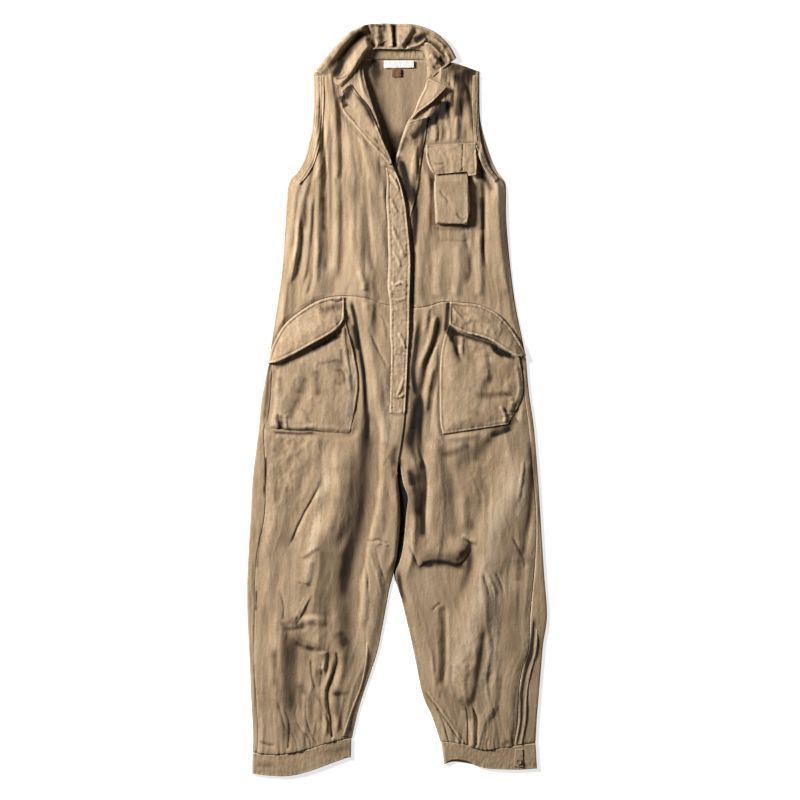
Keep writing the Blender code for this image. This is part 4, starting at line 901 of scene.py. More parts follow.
def make_dye_group():
    """Where the dye is worn off and where it stays, with painted highlight and painted shade on top. Crease
    runs from -1 in a trough to 1 on a crest; the painted shading darkens towards the shade colour, reaches
    black above 1 and paints light below 0.
    """
    group, given, result = new_group(
        "washed_dye",
        [("Vector", "Vector", None), ("Cloth", "Color", (0.4, 0.3, 0.2, 1)),
         ("Faded", "Color", (0.6, 0.5, 0.4, 1)), ("Deep", "Color", (0.2, 0.1, 0.05, 1)),
         ("Crease", "Float", 0.0), ("Wear", "Float", 0.0), ("Tone", "Float", 0.0)],
        [("Color", "Color"), ("Roughness", "Float"), ("Height", "Float")])
    vector = given.outputs["Vector"]
    cloud = add_node(group, "ShaderNodeTexNoise", Vector=vector, Scale=11.0, Detail=4.0, Roughness=0.62)
    stretched = add_node(group, "ShaderNodeMapping", Vector=vector, Scale=(170.0, 22.0, 60.0))
    streak = add_node(group, "ShaderNodeTexNoise", Vector=stretched.outputs[0], Scale=1.0, Detail=4.0,
                      Roughness=0.65)
    grain = add_node(group, "ShaderNodeTexNoise", Vector=vector, Scale=260.0, Detail=3.0, Roughness=0.7)
    fade = maths(group, "ADD", maths(group, "MULTIPLY_ADD", cloud.outputs[0], 1.2, -0.6),
                 maths(group, "MULTIPLY_ADD", streak.outputs[0], 1.15, -0.575))
    fade = maths(group, "ADD", fade, maths(group, "MULTIPLY_ADD", grain.outputs[0], 0.9, -0.45))
    # paler on crests and deeper in troughs: partly washed wear, partly painted highlight and painted shade
    crest = maths(group, "MAXIMUM", given.outputs["Crease"], 0.0)
    trough = maths(group, "MAXIMUM", maths(group, "MULTIPLY", given.outputs["Crease"], -1.0), 0.0)
    # the worn edges, and painted light where the painted shading is below 0
    worn_and_painted_light = maths(group, "ADD", maths(group, "MULTIPLY", given.outputs["Wear"], 1.1),
                 maths(group, "MAXIMUM", maths(group, "MULTIPLY", given.outputs["Tone"], -1.0), 0.0))
    pale = maths(group, "ADD", maths(group, "MULTIPLY_ADD", crest, 0.42, fade), worn_and_painted_light, clamp=True)
    deep = maths(group, "ADD", maths(group, "MULTIPLY", trough, 0.55),
                 maths(group, "MULTIPLY", maths(group, "SUBTRACT", 0.0, fade), 0.9), clamp=True)
    colour = blend_colours(group, pale, given.outputs["Cloth"], given.outputs["Faded"])
    colour = blend_colours(group, deep, colour, given.outputs["Deep"])
    # painted shade, and above 1 the painted black of a gap
    shaded = blend_colours(group, 1.0, colour, SHADED, "MULTIPLY")
    shadow = maths(group, "MULTIPLY", given.outputs["Tone"], 0.8, clamp=True)
    colour = blend_colours(group, shadow, colour, shaded)
    gap = maths(group, "SUBTRACT", given.outputs["Tone"], 1.0, clamp=True)
    colour = blend_colours(group, gap, colour, PAINTED_GAP_BLACK)
    group.links.new(colour, result.inputs["Color"])
    group.links.new(maths(group, "MULTIPLY_ADD", pale, -0.08, 0.9), result.inputs["Roughness"])
    broken = add_node(group, "ShaderNodeVectorMath", dict(operation="MULTIPLY_ADD"), i0=cloud.outputs[1],
                      i1=(0.03, 0.03, 0.03), i2=vector)
    squeezed = add_node(group, "ShaderNodeMapping", Vector=broken.outputs[0], Scale=(105.0, 46.0, 40.0))
    crinkle = add_node(group, "ShaderNodeTexVoronoi", Vector=squeezed.outputs[0], Scale=1.0, Detail=2.0,
                       Roughness=0.7)
    group.links.new(maths(group, "MULTIPLY_ADD", crinkle.outputs[0], 0.3, maths(
        group, "MULTIPLY_ADD", streak.outputs[0], 0.35, maths(
            group, "MULTIPLY", grain.outputs[0], 0.35))), result.inputs["Height"])
    return group


washed_dye = make_dye_group()


# %% Cloth materials
def attribute(tree, name):
    """A value that the mesh carries for each vertex."""
    node = add_node(tree, "ShaderNodeAttribute", dict(attribute_name=name))
    return node.outputs["Fac"]


def make_cloth(name, cloth, faded, deep, rib=0.0011, sheen=0.12, weave=0.0001):
    """A woven material in three shades of its own colour."""
    made = bpy.data.materials.new(name)
    made.use_nodes = True
    tree = made.node_tree
    shader = tree.nodes["Principled BSDF"]
    place = add_node(tree, "ShaderNodeTexCoord")
    dye = add_node(tree, "ShaderNodeGroup", dict(node_tree=washed_dye), Vector=place.outputs["Object"],
                   Cloth=(*cloth, 1), Faded=(*faded, 1), Deep=(*deep, 1), Crease=attribute(tree, "crease"),
                   Wear=attribute(tree, "wear"), Tone=attribute(tree, "tone"))
    woven = add_node(tree, "ShaderNodeGroup", dict(node_tree=twill_weave), Vector=place.outputs["UV"],
                     Rib=rib, Filling=0.65 * rib)
    fine = add_node(tree, "ShaderNodeBump", Height=woven.outputs["Height"], Strength=0.6, Distance=weave)
    rough = add_node(tree, "ShaderNodeBump", Height=dye.outputs["Height"], Strength=1.0, Distance=0.0011,
                     Normal=fine.outputs[0])
    tree.links.new(dye.outputs["Color"], shader.inputs["Base Color"])
    tree.links.new(dye.outputs["Roughness"], shader.inputs["Roughness"])
    tree.links.new(rough.outputs[0], shader.inputs["Normal"])
    shader.inputs["Sheen Weight"].default_value = sheen
    shader.inputs["Sheen Roughness"].default_value = 0.5
    shader.inputs["Specular IOR Level"].default_value = 0.25
    made.diffuse_color = (*cloth, 1)
    return made


TAN, PALE_TAN, DEEP_TAN = (0.445, 0.312, 0.188), (0.63, 0.475, 0.315), (0.205, 0.122, 0.06)
twill = make_cloth("cotton_twill", TAN, PALE_TAN, DEEP_TAN)
label_cloth = make_cloth("label_satin", (0.86, 0.85, 0.83), (0.93, 0.93, 0.92), (0.6, 0.59, 0.57), rib=0.0005,
                         sheen=0.3, weave=0.00004)
tab_cloth = make_cloth("tab_brown", (0.22, 0.115, 0.05), (0.36, 0.21, 0.11), (0.08, 0.04, 0.02), rib=0.0014)
print("materials:", [m.name for m in (twill, label_cloth, tab_cloth)])

# %% [markdown]
# ## A sheet of cloth
# Every panel is the same kind of thing: a grid, moved to its places, thickened by Solidify. One function
# finishes them all. It gives the mesh its UV in metres of cloth, so that the weave has its true size, it
# works out how crested each place is, and it measures the cloth it took, which is the size of the cut.

# %% Grid and finish of a cloth piece
cut_sizes = {}


def unit_grid(name, columns, rows):
    """A unit grid mesh, and the share across and along of each of its vertices."""
    bm = bmesh.new()
    bmesh.ops.create_grid(bm, x_segments=columns, y_segments=rows, size=0.5)
    mesh = bpy.data.meshes.new(name)
    bm.to_mesh(mesh)
    bm.free()
    co = np.empty(3 * len(mesh.vertices))
    mesh.vertices.foreach_get("co", co)
    return mesh, co[0::3] + 0.5, co[1::3] + 0.5


def softened(field, radius):
    """The field blurred over this many cells."""
    reach = int(3 * radius)
    kernel = np.exp(-0.5 * (np.arange(-reach, reach + 1) / radius) ** 2)
    kernel /= kernel.sum()
    for axis in (0, 1):
        padded = np.pad(field, [(reach, reach) if k == axis else (0, 0) for k in (0, 1)], mode="edge")
        field = np.apply_along_axis(lambda line: np.convolve(line, kernel, "valid"), axis, padded)
    return field


def add_cloth(node, mesh, u, v, xy, z, wall=WALL, offset=1.0, material=None,
              crease_size=9.0, wear_edge=2.0, tone=0.0, closed=False):
    """Moves the grid to its places, in millimetres, and finishes it as the piece that stands for a node."""
    place = np.column_stack([xy, z])
    order = np.lexsort((u, v))
    columns = len(np.unique(np.round(u, 5)))
    table = place[order].reshape(-1, columns, 3)
    across = np.linalg.norm(np.diff(table, axis=1), axis=2)
    upward = np.linalg.norm(np.diff(table, axis=0), axis=2)
    area = (across[:-1].mean() * upward.mean() * across[:-1].size) * MM * MM
    wide, tall = across.sum(1).max() * MM, upward.sum(0).max() * MM
    cell = max(np.median(across), 0.5)
    high = table[..., 2]
    crease = np.clip((high - softened(high, crease_size / cell / 2)) / 1.1, -1, 1)
    run_u = np.hstack([np.zeros((table.shape[0], 1)), np.cumsum(across, axis=1)])
    run_v = np.vstack([np.zeros((1, table.shape[1])), np.cumsum(upward, axis=0)])
    edge = np.minimum(np.minimum(run_u, run_u[:, -1:] - run_u), np.minimum(run_v, run_v[-1:] - run_v))
    wear = bell(edge, wear_edge)
    back = np.argsort(order)
    mesh.vertices.foreach_set("co", (place * MM).ravel())
    # the painted shading, light and shade, goes on the mesh beside the crease and the wear
    for name, values in (("crease", crease.ravel()[back]), ("wear", wear.ravel()[back]),
                         ("tone", np.broadcast_to(tone, u.shape))):
        mesh.attributes.new(name, "FLOAT", "POINT").data.foreach_set("value", values.astype(np.float32))
    corner = np.empty(len(mesh.loops), np.int32)
    mesh.loops.foreach_get("vertex_index", corner)
    flat = np.column_stack([run_u.ravel()[back], run_v.ravel()[back]]) * MM
    mesh.uv_layers.new(name="cut").data.foreach_set("uv", flat[corner].astype(np.float32).ravel())
    if closed:
        bm = bmesh.new()
        bm.from_mesh(mesh)
        bmesh.ops.remove_doubles(bm, verts=bm.verts, dist=0.00002)
        bm.to_mesh(mesh)
        bm.free()
    mesh.shade_smooth()
    mesh.materials.append(material or twill)
    piece = bpy.data.objects.new(mesh.name, mesh)
    bpy.context.scene.collection.objects.link(piece)
    solidify = piece.modifiers.new("wall", "SOLIDIFY")
    solidify.thickness, solidify.offset = wall * MM, offset
    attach(piece, "root")
    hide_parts(node)
    wide, tall = round(wide, 3), round(tall, 3)
    area = round(min(max(area, 0.3 * wide * tall), wide * tall), 5)
    cut_sizes[node] = (wide, tall, area)
    return piece


def between(bottom, top, left, right, u, v):
    """A Coons patch: the places at share u across and v along, inside the four edges of a cut."""
    b, t, lf, rt = along(bottom, u), along(top, u), along(left, v), along(right, v)
    u, v = u[:, None], v[:, None]
    p00, p10, p01, p11 = (np.array(q, float) for q in (bottom[0], bottom[-1], top[0], top[-1]))
    corners = (1 - u) * (1 - v) * p00 + u * (1 - v) * p10 + (1 - u) * v * p01 + u * v * p11
    return (1 - v) * b + v * t + (1 - u) * lf + u * rt - corners


def beside(line, distance):
    """The line moved to its left by a distance: upwards where it runs along +X."""
    fine = curve(line, 4)[0]
    ahead = np.gradient(fine, axis=0)
    ahead /= np.linalg.norm(ahead, axis=1)[:, None]
    return (fine + np.column_stack([-ahead[:, 1], ahead[:, 0]]) * distance)[::4].tolist()


# %% [markdown]
# ## Back panels
# The back lies on the table, so its underside is nearly flat: only the low creases lift it. Its inside shows
# through the V of the neck, softly folded from the neck seam. Each back leg turns up round the outer edge and
# over to the seam on the front.


# %% Back bodice and back legs
def back_creases(x, y, seed):
    """Low creases of a back panel, always on or above the table."""
    lift = 1.3 * noise(x / 34, y / 230, seed) + 0.7 * noise(x / 14, y / 100, seed + 1)
    lift += 4.0 * (facets(x / 36, y / 240, seed + 2) - 0.2) * ease(noise(x / 120, y / 150, seed + 3) + 0.7)
    lift += 0.8 * (facets(x / 17, y / 26, seed + 4) - 0.3)
    return 0.35 * np.logaddexp(0, (lift - 0.2) / 0.35)


# the tallest crease of a back panel, and the shares of a back leg where its fold begins and ends
BACK_MOST = 2.2
FLAT_END, FOLD_END = 0.76, 0.84
NECK_FOLDS = [
    fold("4,650 8,600 10,540 6,470", 10, 14, 2.2, 2, (0.2, 0.3)),
]
# bands of painted shade inside the V: the shadows that the collar and the fronts' edges cast on the back
NECK_SHADES = [
    shade("-52,690 -42,650 -34,615 -26,570 -14,520 -4,470", 12, 18, 0.6, (0.02, 0.05)),
    shade("-48,694 -40,666 -36,640", 14, 18, 0.8, (0.02, 0.3)),
    shade("-54,666 -47,640 -42,616", 8, 12, 0.7, (0.1, 0.3)),
    shade("30,600 24,560 14,520 4,470", 12, 10, 0.5, (0.3, 0.05)),
    shade("6,550 4,520 0,490 -4,460", 26, 26, 0.8, (0.3, 0.02)),
]


def add_back_bodice():
    """The back from the waist to the shoulders, with the folds that show inside the V."""
    mesh, u, v = unit_grid("back_bodice_cloth", 80, 92)
    waist = beside(LINES["back_waist"], WAIST_GAP)
    left = [waist[0], *LINES["back_side_right"][1:]]
    right = [waist[-1], *LINES["back_side_left"][1:]]
    xy = between(waist, LINES["back_neck"], left, right, u, v)
    x, y = xy.T
    z = back_creases(x, y, 300) * ease((NECK_SEAM - y) / 20) + np.maximum(folds_height(NECK_FOLDS, x, y), 0)
    in_neck = bell(x, NECK_WIDE) * ease((y - V_FOOT) / 60)
    z *= 1 - 0.5 * in_neck
    # inside the V the back is painted darker, a painted shade, and the neck bands add their painted shadows
    return add_cloth("back_bodice", mesh, u, v, xy, np.minimum(z, BACK_MOST),
                     tone=0.3 * in_neck + folds_both(NECK_SHADES, x, y)[1])


def hem_sag(side, x):
    """How far the curved hem lies above the straight line between its ends."""
    fine = curve(beside(LINES[f"cuff_top_{side}"], 2 * WAIST_GAP), 8)[0]
    straight = np.interp(x, fine[[0, -1], 0], fine[[0, -1], 1])
    return np.interp(x, fine[:, 0], fine[:, 1]) - straight


def add_back_leg(side):
    """Flat as far as the outer fold, round it, and over to the seam on the front."""
    mesh, u, v = unit_grid(f"back_leg_{side}_cloth", 54, 124)
    share = u if side == "left" else 1 - u
    seam, edge, inner = (along(LINES[f"{name}_{side}"], 1 - v)
                         for name in ("seam", "outline", "back_inner"))
    outward = edge - inner
    outward /= np.linalg.norm(outward, axis=1)[:, None]
    run = np.clip(share / FLAT_END, 0, 1)
    turn = np.clip((share - FLAT_END) / (FOLD_END - FLAT_END), 0, 1) * math.pi
    over = np.clip((share - FOLD_END) / (1 - FOLD_END), 0, 1)[:, None]
    fold_line = edge - outward * FOLD_RADIUS
    xy = inner + (fold_line - inner) * run[:, None] + outward * (np.sin(turn) * FOLD_RADIUS)[:, None]
    xy[:, 1] += (1 - v) ** 3 * hem_sag(side, xy[:, 0])
    landed = seam + outward * 2 * SEAM
    xy = xy * (1 - over) + landed * over
    x, y, over = *xy.T, over[:, 0]
    lying = back_creases(x, y, 320 if side == "right" else 340) * ease((680 + y) / 30) * (1 - over)
    top = 2 * FOLD_RADIUS * (1 - over) + on_front(side, *seam.T) * over
    strip = 0.8 * np.sin(math.pi * over) * (1.3 * noise(x / 6, y / 60, 351) + 0.9)
    z = np.where(share < FOLD_END,
                 FOLD_RADIUS * (1 - np.cos(turn)) + np.minimum(lying, BACK_MOST) * (turn < 0.1), top + strip)
    # the gap between the thighs is painted nearly black, a painted shadow, and the strip past the fold takes
    # the leg's painted shade and light
    between_legs = ease((x + 24) / 6) * ease((36 - x) / 6) * ease((y + 372) / 16)
    tone = np.where(share < 0.7, 2.0 * between_legs,
                    folds_both(LEG_FOLDS, x, y)[1] * ease((share - 0.8) / 0.05))
    return add_cloth(f"back_leg_{side}", mesh, u, v, xy, z, tone=tone)


add_back_bodice()
for side in ("right", "left"):
    add_back_leg(side)
print("backs:", {name: cut_sizes[name] for name in ("back_bodice", "back_leg_right", "back_leg_left")})

# %% [markdown]
# ## Fronts
# The fronts are the face of the garment, so their grids are the finest: a vertex about every 2.7 mm.


# %% Front bodices and front legs
def seam_share(side):
    """The share along the waist seam at which the leg's outer seam meets it."""
    corner = np.array([LINES[f"seam_{side}"][0]], float)
    return nearest(LINES[f"waist_{side}"], corner[:, 0], corner[:, 1])[1][0]


def add_front_bodice(side):
    """A front from the waist seam to the shoulder, between its side and its fly edge."""
    waist = beside(LINES[f"waist_{side}"], WAIST_GAP)
    outer, fly = LINES[f"side_{side}"], LINES[f"fly_{side}"]
    left, right = (outer, fly) if side == "right" else (fly, outer)
    mesh, u, v = unit_grid(f"front_bodice_{side}_cloth", 104, 216)
    left, right = [waist[0], *left[1:]], [waist[-1], *right[1:]]
    xy = between(waist, LINES[f"shoulder_{side}"], left, right, u, v)
    return add_cloth(f"front_bodice_{side}", mesh, u, v, xy, front_height(side, *xy.T),
                     tone=front_painted_shading(side, *xy.T))


def add_front_leg(side):
    """A front leg from the hem up to the waist seam, between its outer and its inner seam."""
    waist, seam, inner = (LINES[f"{name}_{side}"] for name in ("waist", "seam", "inner"))
    ends = (seam_share(side), 1) if side == "right" else (0, seam_share(side))
    top = along(beside(waist, -WAIST_GAP), np.linspace(*ends, 37)).tolist()
    left, right = (seam, inner) if side == "right" else (inner, seam)
    left, right = [top[0], *left[1:]][::-1], [top[-1], *right[1:]][::-1]
    mesh, u, v = unit_grid(f"front_leg_{side}_cloth", 108, 340)
    xy = between(LINES[f"hem_{side}"], top, left, right, u, v)
    return add_cloth(f"front_leg_{side}", mesh, u, v, xy, front_height(side, *xy.T),
                     tone=front_painted_shading(side, *xy.T))


for side in ("right", "left"):
    add_front_bodice(side)
    add_front_leg(side)
print("fronts:", {name: size for name, size in cut_sizes.items() if name.startswith("front")})

# %% [markdown]
# ## Cuffs
# A cuff is a flattened ring: its front wall is on top, its back wall on the table, with a fold at each end.
# The grid runs once round the ring, and its two ends are merged.


# %% Cuffs
# the share of the ring that one wall takes, its rows of stitches as inset and depth, and the lift of one end
CUFF_WALL = 0.46
CUFF_STITCHES = ((3.4, 0.55), (8.0, 0.35))
CUFF_RISE = {"right": 4.0, "left": 5.5}
# bands of painted shade at the cuffs' ends
CUFF_SHADES = [
    shade("-160,-706 -122,-700 -94,-692", 16, 14, 0.6, (0.4, 0.02)),
    shade("-282,-726 -262,-728 -242,-726", 8, 8, 0.6),
    shade("94,-723 112,-725 134,-727", 8, 8, 0.8, (0.2, 0.3)),
    shade("270,-730 282,-730", 9, 9, 0.6),
]


def add_cuff(side):
    """The front wall, a fold, the back wall and a fold again, once round the ring."""
    mesh, u, v = unit_grid(f"cuff_{side}_cloth", 220, 20)
    corners = [0, CUFF_WALL, 0.5, 0.5 + CUFF_WALL, 1]
    share = np.interp(u, corners, [0, 1, 1, 0, 0])
    turn = np.interp(u, corners, [0, 0, math.pi, math.pi, 2 * math.pi])
    top, end = (along(LINES[f"cuff_{edge}_{side}"], share) for edge in ("top", "end"))
    on_top = 0.5 + 0.5 * np.cos(turn)
    west = ease((0.34 - share) / 0.1) if side == "left" else ease((share - 0.93) / 0.04)
    rise = CUFF_RISE[side] * west * np.sqrt(np.clip(share * (1 - share) * 9, 0, 1))
    end[:, 1] += rise * on_top
    xy = end + (top - end) * v[:, None]
    xy[:, 0] += FOLD_RADIUS * (1 - 2 * share) + FOLD_RADIUS * np.sin(turn)
    z = FOLD_RADIUS * (1 + np.cos(turn))
    crease = 0.5 * noise(xy[:, 0] / 13, xy[:, 1] / 20, 61)
    crease += 0.35 * noise(xy[:, 0] / 5, xy[:, 1] / 9, 62)
    for rim in ("top", "end"):
        line = LINES[f"cuff_{rim}_{side}"]
        for inset, deep in CUFF_STITCHES:
            moved = [(x, y - inset if rim == "top" else y + inset) for x, y in line]
            crease += groove(moved, *xy.T, deep, 1.6) + pucker(moved, *xy.T, 0.4, 5.5, 5)
    z = z + on_top * (1.0 + crease)
    return add_cloth(f"cuff_{side}", mesh, u, v, xy, z, offset=-1.0, closed=True,
                     tone=folds_both(CUFF_SHADES, *xy.T)[1])


for side in ("right", "left"):
    add_cuff(side)
print("cuffs:", {name: cut_sizes[name] for name in ("cuff_right", "cuff_left")})

# %% [markdown]
# ## Pockets, flaps and plackets
# A patch is a grid between its left and right edges. It lies on the front, so its height starts from the
# front's, and each kind adds its own: a bag bellies out, a flap stands off at its free edge, and a placket is
# drawn up short by its rows of stitches.


# %% Patch helpers
# how far inside the edge of a pocket or a flap its stitches run
STITCH_INSET = 5.2


def patch_grid(name, cell):
    """The grid of a patch with cells of about this size, and the place of each vertex."""
    cut = PATCHES[name]
    tall = max(curve(cut["left"])[1][-1], curve(cut["right"])[1][-1])
    shares = np.linspace(0, 1, 9)
    wide = np.linalg.norm(along(cut["left"], shares) - along(cut["right"], shares), axis=1).max()
    mesh, u, v = unit_grid(f"{name}_cloth", max(4, round(wide / cell)), max(4, round(tall / cell)))
    left, right = along(cut["left"], v), along(cut["right"], v)
    return mesh, u, v, left + (right - left) * u[:, None]


def rim(name, x, y, high=0.7, wide=2.2, inset=2.4):
    """The thick turned edge of a patch."""
    d = off(outline(name), x, y, 4 * wide + inset)
    return high * bell(d - inset, wide) - 0.5 * high * bell(d - inset - 3.6, 1.5)


# %% Plackets, facing and lapel
# the placket's folds, with bands of painted shade
PLACKET_FOLDS = [
    fold("-16,448 -6,438 2,426 8,424", 5, 4, 2.6, 1.4, (0.1, 0.2)),
    shade("-18,436 -10,430 -2,428", 3, 3, 0.6),
    shade("-20,460 -19,420 -16,390", 5, 8, 0.8, (0.05, 0.2)),
    fold("-14,408 -8,390 2,372", 5, 6, 2, 1.5, 0.2),
    fold("-12,350 -2,322 10,300 14,280", 6, 6, 2.4, 1.5, 0.2),
    fold("-12,300 0,286 8,262", 5, 5, 2, 1.5, 0.2),
    shade("10,296 18,300 24,298", 3, 3, 0.5),
    fold("-14,238 -4,230 10,234 22,228", 5, 5, 2.8, 1.4, 0.1),
    shade("-14,222 -2,216 10,220 22,214", 3, 3, 0.5, 0.1),
    fold("-12,204 2,200 18,204", 4, 5, 2, 1.5, 0.1),
    shade("-12,212 -4,212 2,211", 2, 2, 0.7),
    shade("-12,178 -6,178 0,177", 2, 2, 0.6),
    fold("4,134 12,118 20,98", 5, 5, 2.6, 1.4, (0.1, 0.2)),
    shade("2,112 8,102 20,96", 3, 3, 0.5),
    shade("-6,92 6,91 20,89", 2, 2.5, 0.8, 0.05),
    shade("-7,90 -7,60 -6,30 -6,8", 1.6, 1.6, 0.6, 0.05),
    fold("0,8 8,24 16,44", 5, 5, 2.4, 1.4, (0.1, 0.2)),
    fold("-8,12 4,6 16,10", 4, 4, 2.4, 1.3, 0.1),
    shade("-8,4 2,2 14,3", 2.5, 2.5, 0.7, 0.1),
    shade("2,6 6,-8 2,-20", 2.5, 2.5, 0.5, 0.1),
]
# bands of painted shade on the facing, under the collar and along its edges
FACING_SHADES = [
    shade("-77,664 -84,642 -94,618 -102,594", 14, 14, 1.6, (0.02, 0.1)),
    shade("-76,640 -72,606 -58,578 -46,554 -40,538", 13, 9, 1.4, (0.05, 0.2)),
    shade("-46,528 -40,500 -32,474", 10, 10, 0.7),
    shade("-96,566 -88,560 -82,552", 3, 3, 0.6),
    shade("-66,540 -58,532 -52,526", 3, 3, 0.6),
    shade("-48,524 -42,516 -38,508", 3, 3, 0.6),
]
# the shares across the placket at which its stitches run, and its width
PLACKET_STITCHES, PLACKET_WIDE = (0.16, 0.87), 38


def add_fly_placket():
    """The band down the edge of the right front, drawn up by its two rows of stitches."""
    mesh, u, v, xy = patch_grid("fly_placket", 1.5)
    x, y = xy.T
    lift, dark = folds_both(PLACKET_FOLDS, x, y)
    z = FLY_LIFT + WALL + SEAM + LOFT * 0.9 - 3.0 * (1 - ease((y - 50) / 110))
    z += lift * np.sin(math.pi * np.clip(u, 0.04, 0.96)) ** 0.4
    z += 2.0 * crumples(x, y, 71, 15) + 0.25 * noise(x / 6, y / 9, 72)
    left, right = (along(PATCHES["fly_placket"][edge], np.linspace(0, 1, 20)) for edge in ("left", "right"))
    for share in PLACKET_STITCHES:
        line = left * (1 - share) + right * share
        z += groove(line, x, y, 0.8, 1.7) + pucker(line, x, y, 0.9, 6.0, 5)
        dark += 0.5 * bell((u - share) * PLACKET_WIDE, 1.2)
    z += 0.6 * ease((u - 0.8) / 0.2) - 1.8 * ease((0.05 - u) / 0.05)
    # the placket is painted lighter all over, a painted light, and painted darker along its stitches and in
    # its bands, a painted shade
    return add_cloth("fly_placket", mesh, u, v, xy, z,
                     crease_size=7, tone=dark - 0.3)


def add_strip(name, side, cell, lift, ripple, wall=THIN):
    """A narrow strip laid on a front, stitched along both edges. A lapel's free edge stands off."""
    mesh, u, v, xy = patch_grid(name, cell)
    x, y = xy.T
    z = on_front(side, x, y) + lift + rim(name, x, y, 0.5, 1.6, 1.8)
    if name.startswith("vent"):
        z -= 3.2 * ease((v - 0.8) / 0.2) + 2.4 * ease(u - 0.1)
    if name == "lapel_left":
        z += 8.0 * np.clip(off(LINES["fly_left"], x, y, 40) / 26, 0, 1) ** 0.8
    z += ripple * (0.6 * noise(x / 7, y / 14, 81) + 3.0 * crumples(x, y, 82, 12))
    for edge in ("left", "right"):
        z += pucker(PATCHES[name][edge], x, y, ripple, 6, 5)
    # a painted dark line inside the edge, a painted shade
    dark = 0.5 * bell(off(outline(name), x, y, 12) - 4.4, 1.2)
    # the left vent placket is painted nearly black along its west side, a painted shadow, and painted lighter
    # towards the east, a painted light
    if name == "vent_placket_left":
        dark = 1.9 * ease((0.42 - u) / 0.2) - 0.5 * ease((u - 0.5) / 0.2)
    # the under placket and the facing take the bodice's painted shade and light
    if name in ("under_placket", "front_facing_right"):
        dark += folds_both(BODICE_FOLDS, x, y)[1]
    if name == "front_facing_right":
        dark += folds_both(FACING_SHADES, x, y)[1]
    return add_cloth(name, mesh, u, v, xy, z, wall=wall, crease_size=7, tone=dark)


add_fly_placket()
add_strip("under_placket", "left", 1.8, LAY, 0.35)
add_strip("front_facing_right", "right", 1.5, LAY + 0.6, 0.45)
add_strip("lapel_left", "left", 1.4, LAY + 1.4, 0.3)
for side in ("right", "left"):
    add_strip(f"vent_placket_{side}", side, 1.5, LAY, 0.25)

